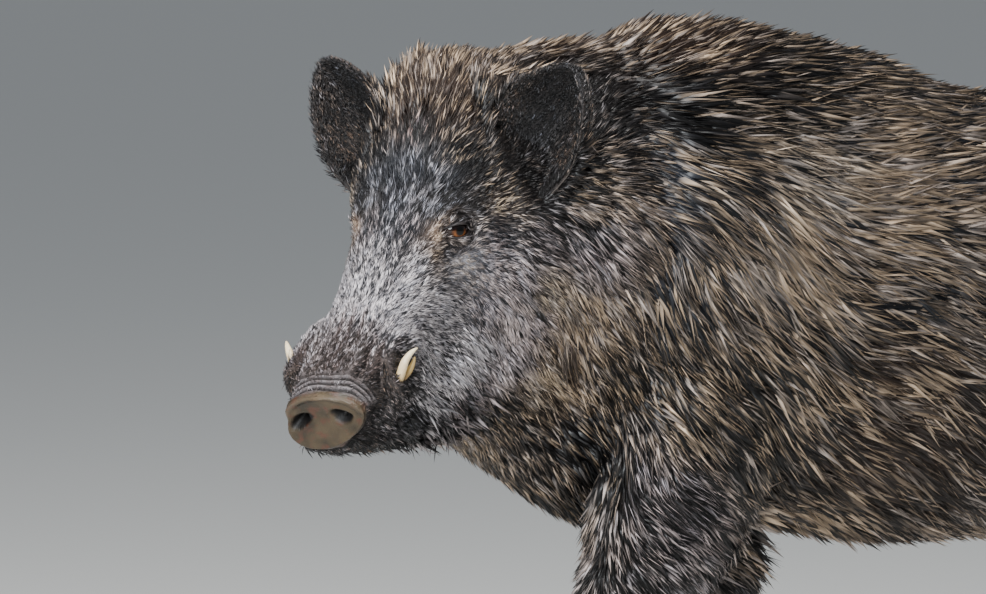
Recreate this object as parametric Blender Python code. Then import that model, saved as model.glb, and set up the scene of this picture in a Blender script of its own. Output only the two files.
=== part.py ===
"""A standing wild boar at life size, as closed solids: flesh, ears, snout, eyes, tusks, hooves and dewclaws.

The boar faces +X with its left on +Y. Its head is turned to its left and lowered, and its left
foreleg is a step ahead. The outline is that of the coat's tips, and the soles lie flat on Z = 0.
"""

import math

import bmesh
import bpy
import numpy as np
from mathutils import Matrix, Vector

# Driving sizes, in metres and degrees.
WITHERS = 0.922  # height of the coat over the shoulders
CROUP = 0.834  # height over the hips
BELLY = 0.394  # height of the lowest belly hair
CHEST_HALF_WIDTH = 0.164
GAP = 0.0004  # between neighbouring solids
VOXEL = 0.0060  # the grid on which the flesh is joined
SOFTENING = 7  # rounds of smoothing over the joins
FLESH_TRIANGLES = 3500
THINNING = {"trunk": 0.60, "legs": 0.15, "head": 0.10}  # how readily each gives up triangles

HEAD_AT = Vector((0.300, 0.075, 0.7295))  # midway between the eyes
HEAD_TURN = 32.0  # to the boar's left
HEAD_PITCH = 27.0  # nose down, along the palate

EYE_RADIUS = 0.0145
EYE_SIDE = 0.0500  # centre of the eyeball from the head's middle
DISC_AT = Vector((0.2115, 0.0, -0.0934))  # the snout's disc, in the head's own axes
DISC_TILT = 11.0  # the disc faces further down than the palate
DISC_ROLL = -5.0
DISC_DEPTH = 0.016
NOSTRIL_DEPTH = 0.012

CLAW_HALF_WIDTH = 0.0148
CLAW_HEIGHT = 0.040
CLAW_SPREAD = 0.0168  # centre of a claw from the middle of the foot
CLAW_TURN = 6.0  # the toes point outward

HEAD = (
    Matrix.Translation(HEAD_AT)
    @ Matrix.Rotation(math.radians(HEAD_TURN), 4, "Z")
    @ Matrix.Rotation(math.radians(HEAD_PITCH), 4, "Y")
)

# Name: colour, roughness.
FINISHES = {
    "coat": ((0.050, 0.043, 0.038), 0.75),
    "snout_skin": ((0.30, 0.21, 0.17), 0.45),
    "eye": ((0.045, 0.018, 0.008), 0.08),
    "ivory": ((0.78, 0.68, 0.50), 0.35),
    "hoof": ((0.030, 0.026, 0.024), 0.50),
}

# Side of the boar: the sign of Y.
SIDES = {"left": 1, "right": -1}

# Where each sole's middle lies: X, and Y without its sign.
FEET = {
    ("fore", "left"): (0.165, 0.108),
    ("fore", "right"): (-0.215, 0.108),
    ("hind", "left"): (-0.775, 0.114),
    ("hind", "right"): (-0.650, 0.114),
}

# Half of the disc's outline, from its top to its bottom: (half width, height).
DISC_OUTLINE = (
    (0.000, 0.0285),
    (0.018, 0.0270),
    (0.033, 0.0215),
    (0.0415, 0.0125),
    (0.0430, 0.0030),
    (0.0385, -0.0085),
    (0.0290, -0.0200),
    (0.0160, -0.0285),
    (0.0000, -0.0315),
)

# The left ear, in the head's own axes. Each row crosses it: inner edge, back of the cup, outer edge.
EAR_ROWS = (
    ((-0.083, 0.048, 0.055), (-0.116, 0.086, 0.012), (-0.064, 0.092, -0.014)),
    ((-0.093, 0.061, 0.077), (-0.128, 0.108, 0.032), (-0.070, 0.116, -0.003)),
    ((-0.104, 0.075, 0.094), (-0.138, 0.124, 0.050), (-0.080, 0.139, 0.013)),
    ((-0.113, 0.092, 0.106), (-0.141, 0.136, 0.067), (-0.090, 0.152, 0.037)),
    ((-0.121, 0.112, 0.113), (-0.139, 0.145, 0.084), (-0.101, 0.158, 0.061)),
    ((-0.126, 0.131, 0.115), (-0.134, 0.150, 0.099), (-0.113, 0.158, 0.084)),
    ((-0.128, 0.142, 0.114), (-0.129, 0.149, 0.108), (-0.122, 0.154, 0.101)),
)
EAR_COLUMNS = 7
EAR_HALF_THICKNESS = 0.0042

# The left tusks, in the head's own axes: (forward, sideways, up, radius).
LOWER_TUSK = (
    (0.166, 0.046, -0.092, 0.0052),
    (0.161, 0.056, -0.080, 0.0053),
    (0.1565, 0.0625, -0.068, 0.0050),
    (0.1520, 0.0665, -0.058, 0.0044),
    (0.1455, 0.0720, -0.0515, 0.0028),
    (0.1395, 0.0765, -0.0500, 0.0009),
)
UPPER_TUSK = (
    (0.149, 0.048, -0.078, 0.0046),
    (0.1485, 0.0570, -0.0780, 0.0044),
    (0.1460, 0.0635, -0.0730, 0.0038),
    (0.1425, 0.0680, -0.0665, 0.0026),
    (0.1400, 0.0705, -0.0600, 0.0010),
)


def clear_scene():
    for obj in list(bpy.data.objects):
        bpy.data.objects.remove(obj)


def finish(name):
    """The material of that name, made the first time it is asked for."""
    if name in bpy.data.materials:
        return bpy.data.materials[name]
    colour, roughness = FINISHES[name]
    made = bpy.data.materials.new(name)
    made.use_nodes = True
    shader = made.node_tree.nodes["Principled BSDF"]
    shader.inputs["Base Color"].default_value = (*colour, 1)
    shader.inputs["Roughness"].default_value = roughness
    shader.inputs["Metallic"].default_value = 0
    return made


def add_object(name, mesh, material="coat"):
    obj = bpy.data.objects.new(name, mesh)
    bpy.context.scene.collection.objects.link(obj)
    mesh.materials.clear()
    mesh.materials.append(finish(material))
    return obj


def from_shape(shape):
    """The finished mesh of a bmesh, with its faces turned outwards."""
    bmesh.ops.recalc_face_normals(shape, faces=shape.faces)
    mesh = bpy.data.meshes.new("shape")
    shape.to_mesh(mesh)
    shape.free()
    return mesh


def between(stations, steps):
    """Rows of numbers with `steps` rows from each to the next, on a smooth curve through them all."""
    rows = np.array(stations, float)
    along = np.r_[0, np.cumsum(np.linalg.norm(np.diff(rows[:, :3], axis=0), axis=1))]
    slopes = np.gradient(rows, along, axis=0)
    out = []
    for i in range(len(rows) - 1):
        span = along[i + 1] - along[i]
        for t in np.arange(steps) / steps:
            out.append(
                (2 * t**3 - 3 * t**2 + 1) * rows[i]
                + (t**3 - 2 * t**2 + t) * span * slopes[i]
                + (3 * t**2 - 2 * t**3) * rows[i + 1]
                + (t**3 - t**2) * span * slopes[i + 1]
            )
    return np.array([*out, rows[-1]])


def signed_power(value, power):
    return math.copysign(abs(value) ** power, value)


def bridge(shape, rings):
    """Walls between closed rings of vertices, and a cap on the first and the last."""
    count = len(rings[0])
    for first, second in zip(rings, rings[1:]):
        for k in range(count):
            n = (k + 1) % count
            shape.faces.new((first[k], first[n], second[n]))
            shape.faces.new((first[k], second[n], second[k]))
    shape.faces.new(rings[0][::-1])
    shape.faces.new(rings[-1])


def loft(stations, sides=28, steps=3, side_axis=None, heading=None, grow=0.0):
    """A closed mesh through oval rings: (x, y, z, half width, rise, drop, squareness).

    Upright rings stand across the line's own heading. With a side_axis they are square to the line,
    or to the heading if one is given, and their rise is towards line x side_axis.
    """
    rows = between(stations, steps)
    centres = rows[:, :3]
    lines = np.gradient(centres, axis=0)
    shape = bmesh.new()
    rings = []
    for (x, y, z, width, rise, drop, square), line in zip(rows, lines):
        if side_axis is None:
            ahead = Vector((line[0], line[1], 0)).normalized()
            side = Vector((0, 0, 1)).cross(ahead)
        else:
            ahead = Vector(heading or line).normalized()
            side = (Vector(side_axis) - ahead * Vector(side_axis).dot(ahead)).normalized()
        up = ahead.cross(side)
        ring = []
        for k in range(sides):
            angle = 2 * math.pi * k / sides
            out = (width + grow) * signed_power(math.cos(angle), 2 / square)
            high = signed_power(math.sin(angle), 2 / square)
            high *= (rise if high > 0 else drop) + grow
            ring.append(shape.verts.new(Vector((x, y, z)) + side * out + up * high))
        rings.append(ring)
    bridge(shape, rings)
    return from_shape(shape)


def upright(x, y, top, bottom, half_width, square=2.2, middle=0.5):
    """A loft station from its top and bottom heights; middle is where between them it is widest."""
    level = bottom + (top - bottom) * middle
    return (x, y, level, half_width, top - level, level - bottom, square)


def ball(centre, radii, turn=None, rings=12):
    """An ellipsoid's mesh."""
    shape = bmesh.new()
    bmesh.ops.create_uvsphere(shape, u_segments=2 * rings, v_segments=rings, radius=1)
    place = Matrix.Translation(centre) @ (turn or Matrix()) @ Matrix.Diagonal((*radii, 1))
    bmesh.ops.transform(shape, matrix=place, verts=shape.verts)
    return from_shape(shape)


def box(low, high):
    """A box's mesh, from its two extreme corners."""
    shape = bmesh.new()
    bmesh.ops.create_cube(shape, size=1)
    low, high = Vector(low), Vector(high)
    place = Matrix.Translation((low + high) / 2) @ Matrix.Diagonal((*(high - low), 1))
    bmesh.ops.transform(shape, matrix=place, verts=shape.verts)
    return from_shape(shape)


def placed(mesh, matrix):
    mesh.transform(matrix)
    return mesh


def in_head(mesh):
    return placed(mesh, HEAD)


def mirrored(points, sign):
    """The same rows of (forward, sideways, up, ...) on the side of the head with that sign."""
    return [(row[0], row[1] * sign, *row[2:]) for row in points]


def trunk_mesh():
    wide = CHEST_HALF_WIDTH
    return loft(
        [
            upright(0.172, 0.012, 0.800, 0.545, 0.090),
            upright(0.135, 0.006, 0.876, 0.470, 0.130),
            upright(0.080, 0.000, 0.901, 0.430, wide - 0.018),
            upright(0.020, 0.000, 0.920, 0.416, wide - 0.004),
            upright(-0.050, 0.000, WITHERS, 0.413, wide, middle=0.48),
            upright(-0.130, 0.000, 0.913, 0.410, wide + 0.002, middle=0.46),
            upright(-0.200, 0.000, 0.896, 0.403, wide + 0.004, middle=0.45),
            upright(-0.270, 0.000, 0.871, BELLY + 0.002, wide + 0.006, middle=0.45),
            upright(-0.350, 0.000, 0.850, BELLY, wide + 0.007, middle=0.45),
            upright(-0.460, 0.000, 0.842, BELLY + 0.010, wide + 0.004),
            upright(-0.580, 0.000, CROUP, 0.438, wide - 0.004),
            upright(-0.680, 0.000, 0.818, 0.492, wide - 0.012, 2.1),
            upright(-0.760, 0.000, 0.780, 0.535, wide - 0.032, 2.0),
            upright(-0.830, 0.000, 0.722, 0.560, 0.088, 2.0),
            upright(-0.866, 0.000, 0.665, 0.590, 0.034, 2.0),
        ]
    )


def neck_mesh():
    return loft(
        [
            upright(0.000, -0.004, 0.902, 0.430, 0.150),
            upright(0.085, 0.000, 0.903, 0.430, 0.152),
            upright(0.140, 0.010, 0.903, 0.457, 0.148, 2.1),
            upright(0.186, 0.026, 0.902, 0.488, 0.136, 2.0),
            upright(0.226, 0.048, 0.884, 0.520, 0.118, 2.0),
            upright(0.258, 0.068, 0.830, 0.550, 0.095, 2.0),
        ]
    )


def skull_mesh():
    """The head without its lower jaw, along the head's own axes."""
    return in_head(
        loft(
            [
                upright(0.214, 0, -0.062, -0.120, 0.042, 2.3),
                upright(0.198, 0, -0.054, -0.128, 0.045, 2.4),
                upright(0.175, 0, -0.046, -0.130, 0.045, 2.5),
                upright(0.140, 0, -0.035, -0.132, 0.049, 2.5),
                upright(0.100, 0, -0.016, -0.134, 0.052, 2.4),
                upright(0.060, 0, 0.006, -0.136, 0.056, 2.3, 0.55),
                upright(0.025, 0, 0.028, -0.140, 0.063, 2.2, 0.55),
                upright(-0.005, 0, 0.048, -0.140, 0.074, 2.1, 0.50),
                upright(-0.025, 0, 0.064, -0.140, 0.088, 2.0, 0.50),
                upright(-0.050, 0, 0.082, -0.140, 0.102, 1.85, 0.50),
                upright(-0.085, 0, 0.109, -0.140, 0.109, 1.8, 0.47),
                upright(-0.120, 0, 0.122, -0.140, 0.112, 1.8, 0.45),
                upright(-0.158, 0, 0.112, -0.130, 0.114, 1.85, 0.45),
                upright(-0.195, 0, 0.080, -0.100, 0.098, 2.0, 0.50),
            ]
        )
    )


def jaw_mesh():
    return in_head(
        loft(
            [
                upright(0.190, 0, -0.116, -0.137, 0.020, 2.2),
                upright(0.172, 0, -0.106, -0.150, 0.032, 2.2),
                upright(0.140, 0, -0.100, -0.165, 0.038, 2.2),
                upright(0.080, 0, -0.080, -0.193, 0.052, 2.1, 0.6),
                upright(0.030, 0, -0.060, -0.215, 0.072, 2.0, 0.6),
                upright(-0.030, 0, -0.040, -0.232, 0.094, 2.0, 0.6),
                upright(-0.090, 0, -0.030, -0.232, 0.108, 2.0, 0.6),
                upright(-0.150, 0, -0.040, -0.200, 0.095, 2.0, 0.6),
            ]
        )
    )


def face_lumps():
    """Brows, cheekbones, chewing muscles and the lips that the tusks push out, on both sides."""
    made = []
    for sign in SIDES.values():
        turn = Matrix.Rotation(math.radians(-12 * sign), 4, "Z")
        for centre, radii in (
            ((-0.014, 0.048, 0.012), (0.042, 0.020, 0.018)),
            ((-0.020, 0.056, -0.040), (0.074, 0.026, 0.030)),
            ((-0.055, 0.074, -0.095), (0.088, 0.044, 0.080)),
            ((0.135, 0.044, -0.060), (0.036, 0.019, 0.024)),
            ((0.152, 0.042, -0.088), (0.030, 0.018, 0.028)),
        ):
            middle = Vector((centre[0], centre[1] * sign, centre[2]))
            made.append(in_head(ball(middle, radii, turn)))
    return made


def leg_stations(pair, side):
    """(x, y, z, half width, front, back, squareness) down the leg, square to its own line."""
    foot, spread = FEET[pair, side]
    y = spread * SIDES[side]
    if pair == "fore":
        return [
            (-0.020 + 0.05 * foot, 0.82 * y, 0.640, 0.045, 0.085, 0.085, 2.0),
            (-0.012 + 0.12 * foot, 0.95 * y, 0.560, 0.058, 0.098, 0.096, 2.0),
            (-0.014 + 0.25 * foot, 1.02 * y, 0.470, 0.058, 0.088, 0.086, 2.0),
            (-0.004 + 0.44 * foot, 1.02 * y, 0.385, 0.050, 0.067, 0.066, 2.1),
            (0.004 + 0.60 * foot, y, 0.300, 0.039, 0.047, 0.047, 2.2),
            (0.008 + 0.70 * foot, y, 0.235, 0.036, 0.041, 0.039, 2.3),
            (0.002 + 0.85 * foot, y, 0.165, 0.029, 0.032, 0.032, 2.2),
            (-0.012 + 0.98 * foot, y, 0.100, 0.030, 0.031, 0.034, 2.1),
            (-0.006 + foot, y, 0.062, 0.033, 0.034, 0.032, 2.1),
            (0.000 + foot, y, 0.020, 0.031, 0.031, 0.027, 2.1),
        ]
    hip = -0.690
    swing = foot - hip
    hock = -0.735 + 0.75 * (foot + 0.70)
    return [
        (hip + 0.030, 0.50 * y, 0.730, 0.050, 0.110, 0.100, 2.0),
        (hip + 0.020, 0.66 * y, 0.640, 0.072, 0.135, 0.130, 2.0),
        (hip + 0.020 + 0.10 * swing, 0.82 * y, 0.540, 0.072, 0.122, 0.122, 2.0),
        (hip + 0.030 + 0.25 * swing, 0.95 * y, 0.450, 0.060, 0.096, 0.090, 2.0),
        (hip + 0.45 * swing, y, 0.370, 0.046, 0.066, 0.058, 2.1),
        (hock + 0.012, y, 0.300, 0.036, 0.044, 0.044, 2.2),
        (hock, y, 0.255, 0.033, 0.036, 0.042, 2.3),
        (hock + 0.012, y, 0.190, 0.029, 0.031, 0.034, 2.2),
        (foot - 0.026, y, 0.107, 0.030, 0.031, 0.035, 2.1),
        (foot - 0.008, y, 0.064, 0.033, 0.034, 0.032, 2.1),
        (foot, y, 0.020, 0.031, 0.031, 0.027, 2.1),
    ]


def scrotum_mesh():
    return ball(Vector((-0.800, 0, 0.565)), (0.050, 0.050, 0.060))


def joined(name, meshes):
    """One object holding all these meshes, which may cross each other."""
    shape = bmesh.new()
    for mesh in meshes:
        shape.from_mesh(mesh)
        bpy.data.meshes.remove(mesh)
    whole = bpy.data.meshes.new(name)
    shape.to_mesh(whole)
    shape.free()
    return add_object(name, whole)


def settle(obj):
    """Applies the object's modifiers, so that its mesh is what they made."""
    graph = bpy.context.evaluated_depsgraph_get()
    mesh = bpy.data.meshes.new_from_object(obj.evaluated_get(graph))
    old = obj.data
    obj.modifiers.clear()
    obj.data = mesh
    bpy.data.meshes.remove(old)
    return obj


def thinned(obj, triangles):
    """Leaves that many triangles, closer together on the head and the legs."""
    ahead = HEAD.to_3x3() @ Vector((1, 0, 0))
    level = Vector((ahead.x, ahead.y, 0)).normalized()
    group = obj.vertex_groups.new(name="body")
    for vertex in obj.data.vertices:
        place = "legs" if vertex.co.z < 0.38 else "trunk"
        if (vertex.co - HEAD_AT).dot(level) > -0.13 and vertex.co.z > 0.50:
            place = "head"
        group.add([vertex.index], THINNING[place], "REPLACE")
    thin = obj.modifiers.new("thin", "DECIMATE")
    thin.ratio = triangles / sum(len(face.vertices) - 2 for face in obj.data.polygons)
    thin.use_collapse_triangulate = True
    thin.vertex_group = group.name
    thin.vertex_group_factor = 1.0
    settle(obj)
    obj.vertex_groups.clear()
    return obj


def flesh():
    """All the boar's flesh and coat as one closed shell."""
    meshes = [trunk_mesh(), neck_mesh(), skull_mesh(), jaw_mesh(), scrotum_mesh(), *face_lumps()]
    for pair, side in FEET:
        meshes.append(loft(leg_stations(pair, side), sides=20, side_axis=(0, 1, 0)))
    obj = joined("flesh", meshes)
    remesh = obj.modifiers.new("join", "REMESH")
    remesh.mode = "VOXEL"
    remesh.voxel_size = VOXEL
    smooth = obj.modifiers.new("soften", "SMOOTH")
    smooth.factor = 0.5
    smooth.iterations = SOFTENING
    settle(obj)
    return thinned(obj, FLESH_TRIANGLES)


def copied(obj, name):
    return add_object(name, obj.data.copy())


def carve(obj, cutter, operation="DIFFERENCE"):
    """Cuts the object with a mesh, and keeps the largest piece if it falls apart."""
    tool = add_object("tool", cutter)
    modifier = obj.modifiers.new("cut", "BOOLEAN")
    modifier.object = tool
    modifier.operation = operation
    modifier.solver = "EXACT"
    settle(obj)
    bpy.data.objects.remove(tool)
    keep_largest(obj.data)
    return obj


def keep_largest(mesh):
    """Removes every separate piece of the mesh but the one with most vertices."""
    shape = bmesh.new()
    shape.from_mesh(mesh)
    bmesh.ops.remove_doubles(shape, verts=shape.verts, dist=0.00002)
    pieces, seen = [], set()
    for start in shape.verts:
        if start in seen:
            continue
        piece, waiting = [], [start]
        seen.add(start)
        while waiting:
            vertex = waiting.pop()
            piece.append(vertex)
            for edge in vertex.link_edges:
                other = edge.other_vert(vertex)
                if other not in seen:
                    seen.add(other)
                    waiting.append(other)
        pieces.append(piece)
    pieces.sort(key=len)
    for piece in pieces[:-1]:
        bmesh.ops.delete(shape, geom=piece, context="VERTS")
    shape.to_mesh(mesh)
    shape.free()


def swollen(mesh, distance=GAP):
    """A copy of a smooth closed mesh, moved outwards by a distance."""
    made = mesh.copy()
    normals = [vertex.normal.copy() for vertex in mesh.vertices]
    for vertex, normal in zip(made.vertices, normals):
        vertex.co += normal * distance
    return made


def leg_region(pair, side, grow=0.0):
    """The space of a leg: around the limb below, and leaning outwards over the flank above."""
    sign = SIDES[side]
    rows = leg_stations(pair, side)
    foot = rows[-1][0]
    low = [(foot, 0.108, -0.05), (rows[-3][0] + 0.005, 0.108, 0.12)]
    sizes = [(0.062, 0.100, 0.100), (0.062, 0.090, 0.090)]
    if pair == "fore":
        low += [(rows[4][0], 0.108, 0.300), (rows[3][0] - 0.004, 0.116, 0.400), (rows[2][0], 0.136, 0.480)]
        low += [(rows[1][0], 0.180, 0.560), (rows[1][0], 0.225, 0.620)]
        sizes += [(0.066, 0.090, 0.090), (0.078, 0.105, 0.105), (0.086, 0.122, 0.122)]
        sizes += [(0.080, 0.110, 0.110), (0.050, 0.060, 0.060)]
    else:
        low += [(rows[5][0], 0.112, 0.300), (rows[3][0], 0.118, 0.430), (rows[2][0], 0.140, 0.540)]
        low += [(rows[1][0], 0.185, 0.650), (rows[1][0], 0.230, 0.720)]
        sizes += [(0.066, 0.090, 0.090), (0.080, 0.125, 0.125), (0.086, 0.150, 0.150)]
        sizes += [(0.080, 0.130, 0.130), (0.050, 0.070, 0.070)]
    stations = [(x, y * sign, z, *size, 2.2) for (x, y, z), size in zip(low, sizes)]
    return loft(stations, sides=14, steps=1, side_axis=(0, 1, 0), grow=grow)


def head_region(grow=0.0):
    frame = (
        Matrix.Translation(HEAD_AT)
        @ Matrix.Rotation(math.radians(HEAD_TURN - 8), 4, "Z")
        @ Matrix.Rotation(math.radians(HEAD_PITCH - 5), 4, "Y")
    )
    return placed(box((-0.128 - grow, -0.18 - grow, -0.238 - grow), (0.32, 0.155 + grow, 0.25)), frame)


def neck_region(grow=0.0):
    frame = (
        Matrix.Translation((0.085, 0, 0.68))
        @ Matrix.Rotation(math.radians(8), 4, "Z")
        @ Matrix.Rotation(math.radians(12), 4, "Y")
    )
    return placed(box((-grow, -0.40, -0.42), (0.50, 0.40, 0.40)), frame)


def disc_mesh(depth_ahead, depth_behind, grow=0.0):
    """The snout's disc along its own axis, its rim rounded in front unless it reaches far ahead."""
    half = list(DISC_OUTLINE)
    whole = half + [(-y, z) for y, z in half[-2:0:-1]]
    shape = bmesh.new()
    rows = [(-depth_behind, 1.00, 0.0), (0.0, 1.03, 0.0), (0.0030, 1.00, 0.0), (0.0040, 0.93, 0.0)]
    if depth_ahead:
        rows = [(-depth_behind, 1.00, grow), (0.0, 1.03, grow), (depth_ahead, 1.05, grow)]
    rings = []
    for x, scale, more in rows:
        ring = []
        for y, z in whole:
            reach = math.hypot(y, z)
            factor = scale * (1 + more / reach)
            ring.append(shape.verts.new((x, y * factor, z * factor)))
        rings.append(ring)
    bridge(shape, rings)
    tilt = Matrix.Rotation(math.radians(DISC_TILT), 4, "Y")
    roll = Matrix.Rotation(math.radians(DISC_ROLL), 4, "X")
    return placed(from_shape(shape), HEAD @ Matrix.Translation(DISC_AT) @ tilt @ roll)


def nostril_mesh(sign):
    """A tapering bore that leans outwards."""
    tilt = Matrix.Rotation(math.radians(DISC_TILT), 4, "Y")
    roll = Matrix.Rotation(math.radians(DISC_ROLL), 4, "X")
    stations = [
        (0.020, 0.0260 * sign, 0.0035, 0.0125, 0.0090, 0.0090, 2),
        (0.003, 0.0215 * sign, 0.0010, 0.0100, 0.0068, 0.0068, 2),
        (0.003 - NOSTRIL_DEPTH, 0.0170 * sign, 0.0000, 0.0055, 0.0042, 0.0042, 2),
    ]
    bore = loft(stations, sides=12, steps=1, side_axis=(0, 1, 0))
    return placed(bore, HEAD @ Matrix.Translation(DISC_AT) @ tilt @ roll)


def ear_surface(sign):
    """The ear's middle surface in the head's axes: rows of (point, direction into the cup)."""
    flat = between([[c for point in row for c in point] for row in EAR_ROWS], 2)
    grid = []
    for row in flat:
        inner, cup, outer = Vector(row[0:3]), Vector(row[3:6]), Vector(row[6:9])
        line = []
        for k in range(EAR_COLUMNS):
            t = 2 * k / (EAR_COLUMNS - 1) - 1
            line.append(inner * (t * (t - 1) / 2) + cup * (1 - t * t) + outer * (t * (t + 1) / 2))
        grid.append(line)
    last, side = len(grid) - 1, EAR_COLUMNS - 1
    surface = []
    for i, line in enumerate(grid):
        lower, higher = grid[max(i - 1, 0)], grid[min(i + 1, last)]
        out = []
        for k, point in enumerate(line):
            along = higher[k] - lower[k]
            across = line[min(k + 1, side)] - line[max(k - 1, 0)]
            into = across.cross(along).normalized()
            out.append((Vector((point.x, point.y * sign, point.z)), Vector((into.x, into.y * sign, into.z))))
        surface.append(out)
    return surface


def ear_mesh(sign, grow=0.0):
    """A cupped leaf, thinner towards its edge."""
    surface = ear_surface(sign)
    last, side = len(surface) - 1, EAR_COLUMNS - 1
    shape = bmesh.new()
    layers = ([], [])
    for i, line in enumerate(surface):
        for layer, way in zip(layers, (1, -1)):
            row = []
            for k, (point, into) in enumerate(line):
                edge = min(k, side - k, 1.5 * (last - i)) / 2
                half = EAR_HALF_THICKNESS * (0.40 + 0.60 * min(edge, 1.0)) + grow
                beyond = Vector()
                for j, m in ((i, {0: 1, side: side - 1}.get(k, k)), ({0: 1, last: last - 1}.get(i, i), k)):
                    beyond += (point - surface[j][m][0]).normalized() * 2 * grow
                row.append(shape.verts.new(point + beyond + into * half * way))
            layer.append(row)
    front, back = layers
    quads = []
    for i in range(last):
        for layer in layers:
            quads += [(layer[i][k], layer[i][k + 1], layer[i + 1][k + 1], layer[i + 1][k]) for k in range(side)]
        quads += [(front[i][k], front[i + 1][k], back[i + 1][k], back[i][k]) for k in (0, side)]
    for i in (0, last):
        quads += [(front[i][k], front[i][k + 1], back[i][k + 1], back[i][k]) for k in range(side)]
    for a, b, c, d in quads:
        shape.faces.new((a, b, c))
        shape.faces.new((a, c, d))
    return in_head(from_shape(shape))


def ear_hollow(sign):
    """The space inside the cup of the ear and ahead of it."""
    shape = bmesh.new()
    ahead = Vector((0.70, 0.58 * sign, 0.36)).normalized() * 0.035
    for line in ear_surface(sign)[1:-1]:
        for point, _ in line:
            shape.verts.new(point)
            shape.verts.new(point + ahead)
    hull = bmesh.ops.convex_hull(shape, input=shape.verts)
    bmesh.ops.delete(shape, geom=list({v for v in hull["geom_interior"]}), context="VERTS")
    return in_head(from_shape(shape))


def horn_mesh(points, sign, grow=0.0):
    """A tapering curved tusk through (forward, sideways, up, radius)."""
    stations = [(x, y, z, r, r, r, 2) for x, y, z, r in mirrored(points, sign)]
    return in_head(loft(stations, sides=8, steps=1, side_axis=(1, 0, 0), grow=grow))


def claw_mesh(pair, side, sign):
    """One half of the cloven hoof: flat below, its toe sloping back as it rises."""
    foot, spread = FEET[pair, side]
    half, height = CLAW_HALF_WIDTH, CLAW_HEIGHT
    stations = [
        (-0.006, 0, height, 0.90 * half, 0.024, 0.021, 2.1),
        (0.000, 0, 0.52 * height, 0.98 * half, 0.032, 0.026, 2.1),
        (0.004, 0, 0.14 * height, half, 0.036, 0.027, 2.1),
        (0.005, 0, 0, 0.95 * half, 0.034, 0.026, 2.1),
    ]
    mesh = loft(stations, 12, 1, side_axis=(0, 1, 0), heading=(0, 0, -1))
    turn = Matrix.Rotation(math.radians(CLAW_TURN * sign), 4, "Z")
    middle = (foot, spread * SIDES[side] + CLAW_SPREAD * sign, 0)
    return placed(mesh, Matrix.Translation(middle) @ turn)


def dewclaw_mesh(pair, side, sign):
    """A small hanging claw behind the pastern, clear of the floor."""
    foot, spread = FEET[pair, side]
    y = spread * SIDES[side]
    stations = [
        (foot - 0.020, y + 0.015 * sign, 0.080, 0.0070, 0.0080, 0.0080, 2),
        (foot - 0.034, y + 0.018 * sign, 0.064, 0.0080, 0.0085, 0.0085, 2),
        (foot - 0.043, y + 0.020 * sign, 0.046, 0.0055, 0.0060, 0.0060, 2),
        (foot - 0.046, y + 0.021 * sign, 0.034, 0.0020, 0.0025, 0.0025, 2),
    ]
    return loft(stations, sides=8, steps=1, side_axis=(0, 1, 0))


def tail_mesh():
    return loft(
        [
            (-0.810, 0, 0.690, 0.020, 0.020, 0.020, 2),
            (-0.852, 0, 0.698, 0.018, 0.018, 0.018, 2),
            (-0.886, 0, 0.674, 0.014, 0.014, 0.014, 2),
            (-0.902, 0, 0.615, 0.011, 0.011, 0.011, 2),
            (-0.906, 0, 0.545, 0.012, 0.012, 0.012, 2),
            (-0.905, 0, 0.485, 0.017, 0.017, 0.017, 2),
            (-0.902, 0, 0.435, 0.014, 0.014, 0.014, 2),
            (-0.900, 0, 0.400, 0.005, 0.005, 0.005, 2),
        ],
        sides=10,
        steps=1,
        side_axis=(0, 1, 0),
    )


def add_eyes(head):
    """Eyeballs, and the pits in the coat through which they look outwards and ahead."""
    for side, sign in SIDES.items():
        centre = Vector((0, EYE_SIDE * sign, 0))
        carve(head, in_head(ball(centre, (EYE_RADIUS + 0.001,) * 3, rings=6)))
        gaze = Vector((0.42, 0.90 * sign, 0.12)).normalized()
        near, far = centre + gaze * 0.004, centre + gaze * 0.045
        stations = [(*near, 0.0100, 0.0110, 0.0110, 2), (*far, 0.0190, 0.0200, 0.0200, 2)]
        carve(head, in_head(loft(stations, sides=12, steps=1, side_axis=(1, 0, 0))))
        add_object(f"eye_{side}", in_head(ball(centre, (EYE_RADIUS,) * 3, rings=7)), "eye")


def add_tusks(head):
    """Both pairs of tusks, as far as they stand out of the lips."""
    for side, sign in SIDES.items():
        for name, points in (("lower", LOWER_TUSK), ("upper", UPPER_TUSK)):
            tusk = add_object(f"tusk_{name}_{side}", horn_mesh(points, sign), "ivory")
            carve(tusk, swollen(head.data))
            if name == "upper":
                carve(tusk, horn_mesh(LOWER_TUSK, sign, grow=GAP))


def add_ears(head, neck):
    for side, sign in SIDES.items():
        for neighbour in (head, neck):
            carve(neighbour, ear_hollow(sign))
            carve(neighbour, ear_mesh(sign, GAP))
        add_object(f"ear_{side}", ear_mesh(sign))


def add_disc(head):
    carve(head, disc_mesh(0.060, DISC_DEPTH + GAP, grow=GAP))
    disc = add_object("snout_disc", disc_mesh(0.0, DISC_DEPTH), "snout_skin")
    for sign in SIDES.values():
        carve(disc, nostril_mesh(sign))
        disc.data.materials.clear()
        disc.data.materials.append(finish("snout_skin"))


def add_feet(leg, pair, side):
    carve(leg, box((-2, -1, -1), (2, 1, CLAW_HEIGHT + GAP)))
    for sign in SIDES.values():
        place = "outer" if sign == SIDES[side] else "inner"
        add_object(f"hoof_{pair}_{side}_{place}", claw_mesh(pair, side, sign), "hoof")
        dewclaw = add_object(f"dewclaw_{pair}_{side}_{place}", dewclaw_mesh(pair, side, sign), "hoof")
        carve(dewclaw, swollen(leg.data))


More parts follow.
